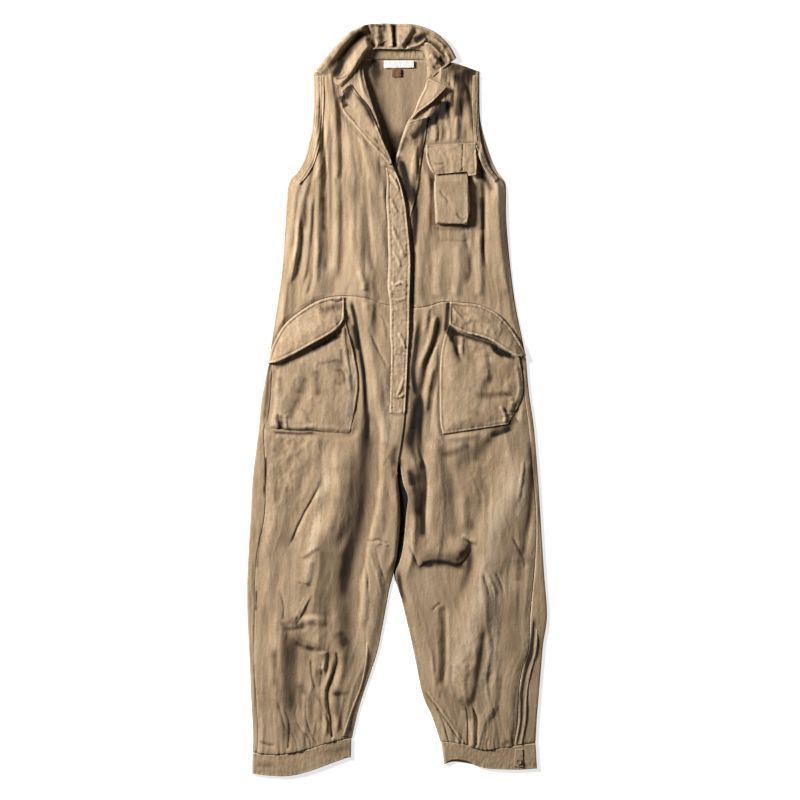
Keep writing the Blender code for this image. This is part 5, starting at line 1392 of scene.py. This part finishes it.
# %% Pocket bags
# folds of the bags, with bands of painted shade and painted light, among them the painted shadows under the
# flaps
BAG_FOLDS = {
    "hip_pocket_right": [
        fold("-166,70 -180,40 -196,10 -210,-20 -222,-44", 28, 26, -2.6, 2.2, (0.2, 0.15)),
        shade("-192,26 -202,0 -210,-24 -212,-44", 16, 14, 0.8, (0.3, 0.15)),
        shade("-164,64 -161,34 -157,4", 12, 13, 0.95, (0.15, 0.2)),
        shade("-138,78 -118,68 -108,44 -104,24", 18, 16, 0.55),
        shade("-172,100 -146,112 -118,130", 9, 9, 1, (0.1, 0.05)),
        shade("-246,64 -230,69 -214,77", 7, 7, 0.8, 0.1),
        shade("-238,52 -232,28 -240,4", 11, 12, 0.5),
        shade("-184,52 -190,34 -198,12", 13, 12, 0.75),
        shade("-232,-26 -230,-50 -232,-62", 9, 9, 1.2, (0.2, 0.02)),
        shade("-146,4 -144,-24 -142,-60", 8, 8, -0.5, 0.1),
        shade("-186,-50 -164,-52 -110,-56", 7, 6, -0.6, 0.1),
        shade("-150,108 -134,118 -112,130", 6, 6, 1, 0.1),
        shade("-94,100 -89,50 -88,20 -91,-20 -98,-62", 13, 8, -1.4, (0.1, 0.05)),
        shade("-168,84 -154,72 -138,74 -118,76 -104,64", 4, 6, 0.5),
        shade("-134,66 -124,58 -112,56 -104,46 -102,30", 4, 5, 0.45),
        shade("-124,46 -120,34 -108,28", 5, 5, 0.45),
        fold("-106,66 -98,40 -92,14", 6, 6, 2, 1.7, 0.2),
        shade("-244,-30 -238,-46 -233,-62", 3.5, 8, 0.9, (0.2, 0.02)),
        fold("-238,-26 -234,-44 -229,-58", 5, 9, -3, 1.4, (0.15, 0.05)),
        fold("-222,-26 -222,-44 -218,-58", 6, 6, 2.4, 1.6, (0.2, 0.1)),
        shade("-196,-16 -184,-26 -180,-40 -170,-52", 3, 4, 0.45),
        fold("-108,150 -104,110 -98,70 -92,26", 9, 5, 2.6, 1.6, (0.05, 0.2)),
        shade("-112,104 -112,88 -108,70", 4, 5, 0.7, (0.1, 0.2)),
        shade("-252,-57 -226,-59 -200,-61 -170,-63 -146,-65", 4, 4, 1.4, (0.05, 0.12)),
        fold("-248,-52 -226,-54 -200,-55 -160,-57", 5, 9, 2, 1.8, (0.1, 0.15)),
    ],
    "hip_pocket_left": [
        shade("100,150 110,144 118,126 120,92 122,60", 16, 11, 1.5, (0.02, 0.5)),
        shade("102,142 118,135 138,129", 7, 8, 1.4, (0.05, 0.1)),
        shade("101,138 108,128 113,114", 8, 7, 1.4, (0.05, 0.3)),
        shade("192,104 202,95 214,90", 8, 8, 2, 0.1),
        shade("184,88 182,60 178,36", 9, 9, -1, (0.1, 0.2)),
        shade("126,112 126,92", 8, 8, -0.6),
        shade("118,110 124,86 126,66", 5, 7, 0.6, (0.1, 0.3)),
        fold("112,130 120,104 126,78", 6, 8, -3.4, 1.6, (0.06, 0.3)),
        fold("132,128 130,104 132,84", 8, 6, 2.8, 1.7, (0.1, 0.3)),
        shade("142,112 142,92 140,74", 5, 6, 0.45, (0.1, 0.3)),
        shade("134,130 160,121 182,114 206,98 238,82", 8, 6, 1.3, 0.05),
        shade("186,112 198,100 212,92 230,88", 10, 12, 1.7, (0.2, 0.1)),
        fold("196,104 206,92 216,78", 6, 8, -2.6, 1.6, (0.1, 0.3), 0.2),
        fold("170,104 174,76 178,50 176,30", 22, 12, 3.6, 1.9, (0.2, 0.3)),
        fold("168,34 196,24 226,22", 34, 30, -4, 2.2, 0.3),
        shade("148,16 172,8 196,8 218,10 232,5", 13, 12, 0.9, 0.25),
        shade("140,-20 156,-26 178,-32", 11, 10, 0.5, 0.3),
        fold("214,-20 224,-26 236,-24", 5, 6, -2.4, 1.6, 0.1, 0.3),
        shade("226,34 224,14 214,6", 10, 10, 0.5),
        shade("244,44 242,10 232,-24 214,-42 170,-52 118,-60", 7, 6, -0.9, 0.1),
        shade("250,-6 246,-24 238,-40", 4, 4, 0.8, 0.1),
        fold("228,8 230,-10 226,-32", 10, 6, 3, 1.8, (0.2, 0.1)),
        fold("206,-14 216,-32 216,-50", 6, 6, 2.8, 1.6, (0.2, 0.1)),
        shade("228,-34 232,-46 226,-56", 5, 5, 0.7, 0.1),
        fold("238,74 244,40 244,14 232,-14", 8, 8, 2.4, 1.8, 0.1),
    ],
    "chest_pocket": [
        fold("84,416 92,404 100,396 104,384", 4, 5, -2, 1.4, (0.1, 0.3), 0.15),
        shade("136,440 138,400 135,362", 7, 6, -0.8, 0.1),
        fold("118,372 128,362 136,358", 4, 4, -2.4, 1.4, (0.2, 0.1), 0.2),
    ],
}
# how far each bag bellies out, and how soon it gets there from its west edge, its east and its lower one
BELLY = {"hip_pocket_right": (4.6, 30), "hip_pocket_left": (6.6, 34), "chest_pocket": (8.0, 4.5)}
EAST_REACH, LOW_REACH = 42, {"right": 22, "left": 26}
# the chest pocket's bellows stand it off, and the right hip pocket runs softly into the leg at two edges
CHEST_STEP = 3.8
SOFT_EDGES = {"hip_pocket_right": [marks("-261,-58 -252,-15 -247,40 -240,84"), marks("-261,-58 -95,-71")]}


def add_bag(name, side):
    """A patch pocket: sewn down round its edge, bellied out inside it."""
    chest = name == "chest_pocket"
    mesh, u, v, xy = patch_grid(name, 1.9)
    x, y = xy.T
    edge = outline(name)
    d = off(edge, x, y, 30)
    under_flap = ease((v - 0.7) / 0.2)
    full, reach = BELLY[name]
    cut = PATCHES[name]
    if chest:
        rise = d / reach
    else:
        rise = np.minimum(off(cut["left"], x, y, 40) / reach, off(cut["right"][:4], x, y, 44) / EAST_REACH)
        rise = np.minimum(rise, off([cut["left"][0], cut["right"][0]], x, y, 30) / LOW_REACH[side])
    belly = full * (1 - (1 - np.clip(rise, 0, 1)) ** (2.4 if chest else 1.7))
    z = on_front(side, x, y) * 0.25 + (PILE + LOFT * 0.3) * 0.75 + SEAM + belly * (1 - 0.65 * under_flap)
    lift, dark = folds_both(BAG_FOLDS[name], x, y)
    lift += (1.0 if chest else 1.8) * crumples(x, y, 91, 24)
    z += (lift + 0.9 * noise(x / 26, y / 34, 92) + 0.15 * noise(x / 8, y / 14, 93)) * np.clip(d / 7, 0, 1)
    rolled = rim(name, x, y, 0.9, 1.7, 1.8)
    for line in SOFT_EDGES.get(name, ()):
        away = off(line, x, y, 16)
        rolled *= ease(away / 12)
        z -= 3.4 * (1 - ease(away / 12))
    z += rolled + pucker(edge, x, y, 0.45, 6, 6)
    if chest:
        z += CHEST_STEP * (1 - 0.8 * under_flap)
    dark += 0.45 * bell(d - STITCH_INSET, 1.4) * np.clip(rolled * 3 + 1, 0, 1)
    return add_cloth(name, mesh, u, v, xy, z, tone=dark)


add_bag("hip_pocket_right", "right")
add_bag("hip_pocket_left", "left")
add_bag("chest_pocket", "left")

# %% Pocket flaps
# folds of the flaps, with bands of painted shade and painted light
FLAP_FOLDS = {
    "hip_flap_right": [
        shade("-156,172 -134,182 -110,186", 15, 14, 0.8, (0.2, 0.05)),
        shade("-128,148 -116,160 -108,176", 9, 8, -0.8, 0.1),
        fold("-160,188 -140,180 -122,184", 8.8, 8.8, -2.1, 1.7, (0.2, 0.1)),
        fold("-136,204 -124,200 -112,202", 3, 3, 3.4, 1.2, 0.1),
        fold("-132,198 -120,194 -108,198", 3, 3, -3.4, 1.2, 0.1, 0.4),
    ],
    "hip_flap_left": [
        shade("107,192 108,172 112,154", 6, 9, 0.9, (0.05, 0.1)),
        shade("172,186 200,178 222,154 230,140", 10, 9, 0.6, (0.15, 0.2)),
        shade("238,136 248,108 252,90", 16, 14, -1.4, (0.1, 0.02)),
        fold("110,190 116,178 126,168 134,160", 5, 5, 2.1, 1.3, (0.1, 0.2)),
        fold("124,152 140,160 160,162 184,146 200,128", 8.8, 11.2, 2.5, 1.7, (0.15, 0.25)),
    ],
    "chest_flap": [
        fold("72,473 84,471 98,474", 3, 3, -2, 1.3, 0.2, 0.3),
        fold("132,512 131,484 131,456", 3, 3, -2.2, 1.3, 0.03, 0.35),
    ],
}
# how far each flap's free edge stands off
FLAP_STAND = {"hip_flap_right": 12.0, "hip_flap_left": 14.0, "chest_flap": 10.0}


def add_flap(name, side):
    """A flap is sewn down along its upper edge and stands off towards its free one."""
    mesh, u, v, xy = patch_grid(name, 1.6)
    x, y = xy.T
    chest = name == "chest_flap"
    if chest:
        xy[:, 1] += 9.0 * ease((143 - x) / 4) * (1 - v) ** 4
        x, y = xy.T
    hinge = 1 - v if chest else u
    stand = FLAP_STAND[name] * (0.04 + 0.96 * ease(hinge * 1.15) ** 0.7)
    z = PILE + SEAM + 1.2 + stand
    if not chest:
        z -= 0.66 * stand * ease((v - 0.76) / 0.24) * (side == "right")
        z += 3.0 * ease((0.3 - v) / 0.3) * ease(1.5 * hinge) * (side == "left")
    lift, dark = folds_both(FLAP_FOLDS[name], x, y)
    z += lift + 2.2 * crumples(x, y, 95, 22) + 1.6 * noise(x / 30, y / 24, 97)
    z += 1.0 * crumples((x + y) / 1.4, (y - x) / 1.4, 99, 9)
    z += rim(name, x, y, 1.1, 1.7, 1.9) + pucker(outline(name), x, y, 0.6, 5.5, 6)
    left, right = PATCHES[name]["left"], PATCHES[name]["right"]
    d = np.minimum(off(left, x, y, 12), off(right, x, y, 12))
    d = np.minimum(d, v * (90.0 if chest else 300.0))
    dark += 0.5 * bell(d - STITCH_INSET, 1.3)
    sewn = [left[-1], right[-1]] if chest else left
    dark += 0.35 * bell(off(sewn, x, y, 6), 1.3)
    return add_cloth(name, mesh, u, v, xy, z, crease_size=7,
                     wear_edge=2.6, tone=dark)


add_flap("hip_flap_right", "right")
add_flap("hip_flap_left", "left")
add_flap("chest_flap", "left")


# %% Armhole bindings
def add_binding(side):
    """A strip along the armhole, from the underarm to the shoulder, inside the front's edge."""
    mesh, u, v = unit_grid(f"armhole_binding_{side}_cloth", 12, 130)
    share = UNDERARM + (ARM_END - UNDERARM) * v
    outer = LINES[f"side_{side}"]
    edge = along(outer, share)
    ahead = along(outer, np.clip(share + 0.01, 0, 1)) - along(outer, share - 0.01)
    ahead /= np.linalg.norm(ahead, axis=1)[:, None]
    inward = np.column_stack([ahead[:, 1], -ahead[:, 0]]) * (1 if side == "right" else -1)
    offset = (u if side == "right" else 1 - u) * BINDING[side] + SEAM
    xy = edge + inward * offset[:, None]
    lines = 0.5 * np.cos(offset / BINDING[side] * 6 * math.pi) - 0.3
    z = on_front(side, *xy.T) + LAY + 0.6 + lines + 0.35 * noise(offset / 4, share * 90, 98)
    return add_cloth(f"armhole_binding_{side}", mesh, u, v, xy, z, wall=THIN,
                     crease_size=5)


for side in ("right", "left"):
    add_binding(side)
print("patches:", {name: cut_sizes[name] for name in (*BAG_FOLDS, *FLAP_FOLDS)})

# %% [markdown]
# ## Collar
# The collar stands up off the neck seam, rolls over and turns back under itself. Its grid is fitted through
# stations round the neck. Each station gives the roll line, the outer fold, their heights and the crown
# between them, and how far and how low the underside turns back.

# %% Collar and neck band
COLLAR = [
    # stations from the wearer's right: roll line, outer fold, heights across, how far and low it tucks
    dict(roll=(-112, 625), outer=(-163, 659), z=(8, 11, 9, 8, 10, 12.5, 12, 10), tuck=10, fall_z=6.5),
    dict(roll=(-97, 636), outer=(-150, 673), z=(9, 17, 13, 9, 10, 18, 17, 13), tuck=12, fall_z=6.5),
    dict(roll=(-80, 655), outer=(-126, 704), z=(10, 22, 20, 11, 8.5, 19, 19, 14), tuck=16, fall_z=2),
    dict(roll=(-68, 677), outer=(-102, 729), z=(10, 24, 22, 12, 8, 20, 20, 14), tuck=24, fall_z=0),
    dict(roll=(-55, 696), outer=(-72, 746), z=(13, 23, 21, 15, 9, 20, 20, 15), tuck=34, fall_z=0),
    dict(roll=(-36, 700), outer=(-38, 751), z=(15.5, 17, 18, 18.5, 18.5, 18.5, 18, 15), tuck=40, fall_z=0),
    dict(roll=(-4, 699), outer=(0, 751), z=(15.5, 17, 18, 18.5, 18.5, 18.5, 18, 15), tuck=42, fall_z=0),
    dict(roll=(30, 700), outer=(34, 750), z=(15.5, 17, 18, 18.5, 18.5, 18.5, 18, 15), tuck=40, fall_z=0),
    dict(roll=(52, 695), outer=(64, 741), z=(13, 17, 19, 19, 18, 17, 16, 12), tuck=30, fall_z=0),
    dict(roll=(57, 680), outer=(86, 727), z=(12, 18, 20, 19, 17, 17, 16, 12), tuck=22, fall_z=0),
    dict(roll=(61, 664), outer=(106, 706), z=(11, 16, 18, 17, 15, 15, 14, 11), tuck=16, fall_z=2),
    dict(roll=(72, 646), outer=(119, 683), z=(8.5, 10, 11, 11, 11, 11, 10.5, 9), tuck=12, fall_z=6.5),
]
ACROSS = np.array([0, 0.12, 0.3, 0.5, 0.66, 0.82, 0.93, 1])
# folds of the collar, with bands of painted shade and painted light
COLLAR_FOLDS = [
    # the valley where the back section laps over the wearer's right wing, then the back section's folds
    fold("-62,748 -56,734 -51,716 -43,702", 15, 6, -13, 1.5, (0.1, 0.02), 0.6),
    fold("-55,751 -48,739 -45,721 -37,704", 4, 34, 6.5, 1.3, (0.03, 0.02)),
    fold("-30,744 -28,726 -24,708", 10, 10, -3, 1.9, (0.1, 0.2)),
    fold("-13,751 -9,728 -7,702", 10, 6, 4, 1.6, (0.03, 0.05)),
    fold("-5,749 -3,728 0,704", 4, 8, -3.6, 1.5, (0.2, 0.05)),
    shade("-5,751 -3,730 -3,702", 6, 8, 1.7, (0.1, 0.02)),
    shade("-111,686 -114,666 -126,642", 10, 10, 1.2, 0.1),
    shade("-76,692 -70,676 -74,662", 7, 7, -1),
    shade("60,729 48,725 34,718", 14, 12, 0.9, 0.1),
    shade("-53,749 -48,730 -48,702", 8, 7, 1.1, (0.05, 0.02)),
    shade("-25,750 -24,728", 7, 7, 1.2),
    fold("30,750 22,730 13,712 8,703", 30, 10, 4.5, 1.7, (0.05, 0.1)),
    fold("40,744 30,724 22,710 14,703", 8, 12, -3.6, 1.7, (0.2, 0.1)),
    shade("68,734 50,727 34,718 20,708", 13, 12, 1.1, (0.1, 0.05)),
    shade("88,692 93,681 96,670", 6, 7, 1),
    shade("84,648 96,642", 9, 9, 0.9),
    # the shaded hollow of the wearer's right wing, and the strip outside it
    shade("-62,738 -78,720 -94,703 -109,682 -117,662 -124,642", 13, 15, 1.3, (0.15, 0.1), 2.2),
    shade("-130,680 -112,708 -92,730", 12, 12, -0.9, 0.1),
    shade("-88,734 -74,742 -58,749", 7, 7, -0.8),
    shade("-37,742 -36,724 -36,704", 9, 9, -0.9, 0.1),
    shade("-74,744 -104,722 -126,696 -144,668", 22, 20, 0.5, 0.1),
    fold("18,702 32,706 46,712 62,724", 4, 7, 4.5, 1.5, 0.15),
    # crumples of the wearer's left wing
    fold("56,730 72,722 86,712 100,700", 5, 4, 3.4, 1.4, (0.2, 0.15)),
    fold("64,716 80,708 92,698", 4, 4, -4, 1.3, (0.15, 0.2), 0.35),
    fold("54,714 70,708 84,694 98,684", 5, 4, 3.6, 1.3, 0.15),
    fold("84,684 90,676 95,666", 6, 8, -8, 1.5, 0.25, 0.7),
    fold("66,690 76,682 82,670", 9, 6, 4, 1.8, (0.2, 0.25)),
    fold("98,694 104,684 106,674", 5, 5, 3, 1.5, 0.2),
    fold("72,668 82,662 92,664", 4, 5, -2.4, 1.5, 0.2),
    # the wearer's right wing: a bright inner facet with a few soft creases, and its crumpled end
    fold("-120,640 -108,640 -98,646", 3, 4, -2.6, 1.3, (0.1, 0.2), 0.3),
    fold("-122,646 -112,650 -104,656", 4, 3, 2.2, 1.4, 0.2),
]
# the shares of the grid where the collar's face ends and where its edge has turned, and the face's width
FACE_END, TURN_END, FACE_WIDE = 0.66, 0.8, 50
# how far inside the outer fold the raised edge and the row of stitches run, and the face's least height
EDGE_INSET, ROW_INSET, FACE_LEAST = 3.0, 7.0, 5.5


def add_collar():
    """The face, the turned edge and the part tucked under, from station to station round the neck."""
    mesh, u, v = unit_grid("collar_cloth", 240, 72)
    places = np.arange(len(COLLAR)) / (len(COLLAR) - 1)

    def station(values):
        """A smooth value for each vertex, from one for each station."""
        line = along(list(zip(places, values)), np.linspace(0, 1, 200))
        return np.interp(u, line[:, 0], line[:, 1])

    t = np.clip(v / FACE_END, 0, 1)
    heights = np.array([station([row["z"][k] for row in COLLAR]) for k in range(len(ACROSS))])
    k = np.clip(np.searchsorted(ACROSS, t, "right") - 1, 0, len(ACROSS) - 2)
    part = (t - ACROSS[k]) / (ACROSS[k + 1] - ACROSS[k])
    row = np.arange(len(u))
    before, after = heights[np.maximum(k - 1, 0), row], heights[np.minimum(k + 2, len(ACROSS) - 1), row]
    here, there = heights[k, row], heights[k + 1, row]
    in_slope, out_slope = (there - before) / 2, (after - here) / 2
    top = (here * (1 + 2 * part) * (1 - part) ** 2 + in_slope * part * (1 - part) ** 2
           + there * part**2 * (3 - 2 * part) - out_slope * part**2 * (1 - part))
    tuck, fall_z = station([row["tuck"] for row in COLLAR]), station([row["fall_z"] for row in COLLAR])
    roll, outer = (along([row[key] for row in COLLAR], u) for key in ("roll", "outer"))
    turn = np.clip((v - FACE_END) / (TURN_END - FACE_END), 0, 1) * math.pi / 2
    under = np.clip((v - TURN_END) / (1 - TURN_END), 0, 1)
    inward = roll - outer
    inward /= np.linalg.norm(inward, axis=1)[:, None]
    drop = heights[-1] - fall_z
    back = 0.4 * drop * (1 - np.cos(turn)) + (tuck - 0.4 * drop) * under
    xy = roll + (outer - roll) * t[:, None] + inward * back[:, None]
    on_face = ease((1 - t) / 0.05) * ease(t / 0.05 + 0.35)
    x, y = xy.T
    lift, dark = folds_both(COLLAR_FOLDS, x, y)
    lift += 1.7 * crumples(x, y, 51, 20) + 0.9 * noise(x / 22, y / 22, 52)
    inset = (1 - t) * FACE_WIDE
    lift += 0.5 * bell(inset - EDGE_INSET, 1.6) - 0.5 * bell(inset - ROW_INSET, 1.6)
    z = top + lift * on_face - drop * np.sin(turn)
    z = np.where(v < FACE_END, np.maximum(z, FACE_LEAST), z)
    dark += 0.3 * bell(inset - ROW_INSET, 1.5) * (v < FACE_END)
    return add_cloth("collar", mesh, u, v, xy, z, offset=-1.0, tone=dark)


def add_neck_band():
    """The band stands up off the back neck seam to just under the roll line, a little gathered."""
    seam = marks("-86,646 -74,668 -64,680 -34,681 -4,681 26,681 53,680 60,670 68,648")
    roll = marks("-98,650 -88,676 -66,697 -36,703 -4,702 30,703 55,696 70,676 78,652")
    mesh, u, v = unit_grid("neck_band_cloth", 130, 16)
    lower, upper = along(seam, u), along(roll, u)
    xy = lower + (upper - lower) * v[:, None]
    z = EDGE_LIFT + 2.6 * v ** 0.6
    gather = noise(xy[:, 0] / 3.6, v * 1.2, 55) * ease((xy[:, 0] + 20) / 20) * ease(4 * (1 - v)) * ease(5 * v)
    z += 1.1 * gather + 0.3 * noise(xy[:, 0] / 9, v * 2, 56)
    # the band is painted darker all over and in the hollows of its gathers, a painted shade, and darkest
    # along its seam
    dark = 0.12 + 0.6 * bell(v * 20 - 0.5, 1.6) + 0.2 * np.maximum(-gather, 0)
    return add_cloth("neck_band", mesh, u, v, xy, z, tone=dark)


add_collar()
add_neck_band()
print("collar and band:", cut_sizes["collar"], cut_sizes["neck_band"])


# %% Label, loop, cuff tab and button
def add_small(node, lift, wall, material, crumple):
    """A small flat piece with a slightly uneven surface."""
    mesh, u, v, xy = patch_grid(node, 1.2)
    z = lift + crumple * (noise(xy[:, 0] / 9, xy[:, 1] / 9, 56) + facets(xy[:, 0] / 8, xy[:, 1] / 7, 57))
    return add_cloth(node, mesh, u, v, xy, z, wall=wall, material=material,
                     crease_size=5, wear_edge=1.2)


add_small("neck_label", 4.6, 0.6, label_cloth, 0.25)
add_small("hanger_loop", 4.4, 1.0, tab_cloth, 0.9)
add_small("cuff_tab_left", PILE + 1.8, THIN, twill, 0.5)


# %% [markdown]
# ## The cuff button
# A small horn button with a raised rim, turned from a profile.


# %% Button
# radius and height, from the middle of the top round the rim to the middle of the underside
BUTTON_PROFILE = [(0.0, 1.3), (2.6, 1.3), (3.6, 1.6), (4.6, 2.3), (5.4, 2.3), (6.0, 1.6), (5.6, 0.5),
                  (4.0, 0.0), (0.0, 0.0)]
BUTTON_PLACE, BUTTON_SEAT = (243, -722, 0), 2.0


def add_button():
    """A button spun from half its profile, on the cuff tab."""
    centre = Vector(BUTTON_PLACE) * MM
    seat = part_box("cuff_button_left")[0].z + BUTTON_SEAT * MM
    bm = bmesh.new()
    ring = [bm.verts.new((x * MM, 0, z * MM)) for x, z in BUTTON_PROFILE]
    for a, b in zip(ring, ring[1:]):
        bm.edges.new((a, b))
    bmesh.ops.spin(bm, geom=[*bm.verts, *bm.edges], cent=(0, 0, 0), axis=(0, 0, 1), angle=2 * math.pi,
                   steps=28, use_merge=True)
    bmesh.ops.remove_doubles(bm, verts=bm.verts, dist=0.00001)
    bmesh.ops.recalc_face_normals(bm, faces=bm.faces)
    bmesh.ops.translate(bm, verts=bm.verts, vec=(centre.x, centre.y, seat))
    mesh = bpy.data.meshes.new("cuff_button")
    bm.to_mesh(mesh)
    bm.free()
    mesh.shade_smooth()
    mesh.materials.append(button_horn)
    piece = bpy.data.objects.new("cuff_button", mesh)
    bpy.context.scene.collection.objects.link(piece)
    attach(piece, "root")
    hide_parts("cuff_button_left")
    return piece


def make_horn():
    """Mottled horn, glossy where it is rubbed."""
    made = bpy.data.materials.new("button_horn")
    made.use_nodes = True
    tree = made.node_tree
    shader = tree.nodes["Principled BSDF"]
    place = add_node(tree, "ShaderNodeTexCoord")
    cloud = add_node(tree, "ShaderNodeTexNoise", Vector=place.outputs["Object"], Scale=190.0, Detail=4.0)
    colour = blend_colours(tree, cloud.outputs[0], (0.42, 0.31, 0.19, 1), (0.20, 0.13, 0.07, 1))
    tree.links.new(colour, shader.inputs["Base Color"])
    tree.links.new(maths(tree, "MULTIPLY_ADD", cloud.outputs[0], 0.25, 0.25), shader.inputs["Roughness"])
    return made


button_horn = make_horn()
add_button()

# %% [markdown]
# ## Stage, light and camera
# The floor is pale and glows a little, so the shadow on it stays light. One soft key light stands up and to
# the left, about 30 degrees above the table, and a dim even sky fills the shadows. The camera looks straight
# down.


# %% Floor, lights, sky and camera
def add_floor():
    """A wide sheet of white paper that glows a little, just below the garment."""
    bm = bmesh.new()
    bmesh.ops.create_grid(bm, x_segments=1, y_segments=1, size=30)
    mesh = bpy.data.meshes.new("floor")
    bm.to_mesh(mesh)
    bm.free()
    floor = bpy.data.objects.new("floor", mesh)
    paper = bpy.data.materials.new("white_paper")
    paper.use_nodes = True
    shader = paper.node_tree.nodes["Principled BSDF"]
    shader.inputs["Base Color"].default_value = (0.85, 0.85, 0.85, 1)
    shader.inputs["Roughness"].default_value = 0.9
    shader.inputs["Emission Color"].default_value = (1, 1, 1, 1)
    shader.inputs["Emission Strength"].default_value = 0.7
    mesh.materials.append(paper)
    bpy.context.scene.collection.objects.link(floor)
    floor.location.z = -0.0002


def add_light(name, place, target, size, watts):
    """A square soft light that points at a place."""
    data = bpy.data.lights.new(name, "AREA")
    data.size, data.energy = size, watts
    lamp = bpy.data.objects.new(name, data)
    lamp.location = place
    lamp.rotation_euler = (Vector(target) - Vector(place)).to_track_quat("-Z", "Y").to_euler()
    lamp.visible_camera = False
    bpy.context.scene.collection.objects.link(lamp)


def add_sky(fill):
    """A dim even sky, which the camera sees as white."""
    world = bpy.data.worlds.new("studio")
    world.use_nodes = True
    tree = world.node_tree
    seen = add_node(tree, "ShaderNodeLightPath").outputs["Is Camera Ray"]
    strength = maths(tree, "MULTIPLY_ADD", seen, 1.0 - fill, fill)
    tree.links.new(strength, tree.nodes["Background"].inputs["Strength"])
    tree.nodes["Background"].inputs["Color"].default_value = (1, 1, 1, 1)
    bpy.context.scene.world = world


def add_camera():
    """A long lens straight above, framing a square of 1.6 m."""
    data = bpy.data.cameras.new("camera")
    data.lens, data.sensor_width = 100, 36
    framed = 1.6
    camera = bpy.data.objects.new("camera", data)
    camera.location = (0.006, 0, framed * data.lens / data.sensor_width)
    bpy.context.scene.collection.objects.link(camera)
    bpy.context.scene.camera = camera


add_floor()
add_light("key", (-2.6, 1.5, 1.75), (0, 0, 0), 0.9, 216)
add_sky(0.06)
add_camera()
bpy.context.scene.view_settings.view_transform = "Standard"

# %% [markdown]
# ## Size and finish
# The cut sizes of the model are printed.

# %% Write the sizes and finish
bpy.context.view_layer.update()
print("cut sizes:", cut_sizes)
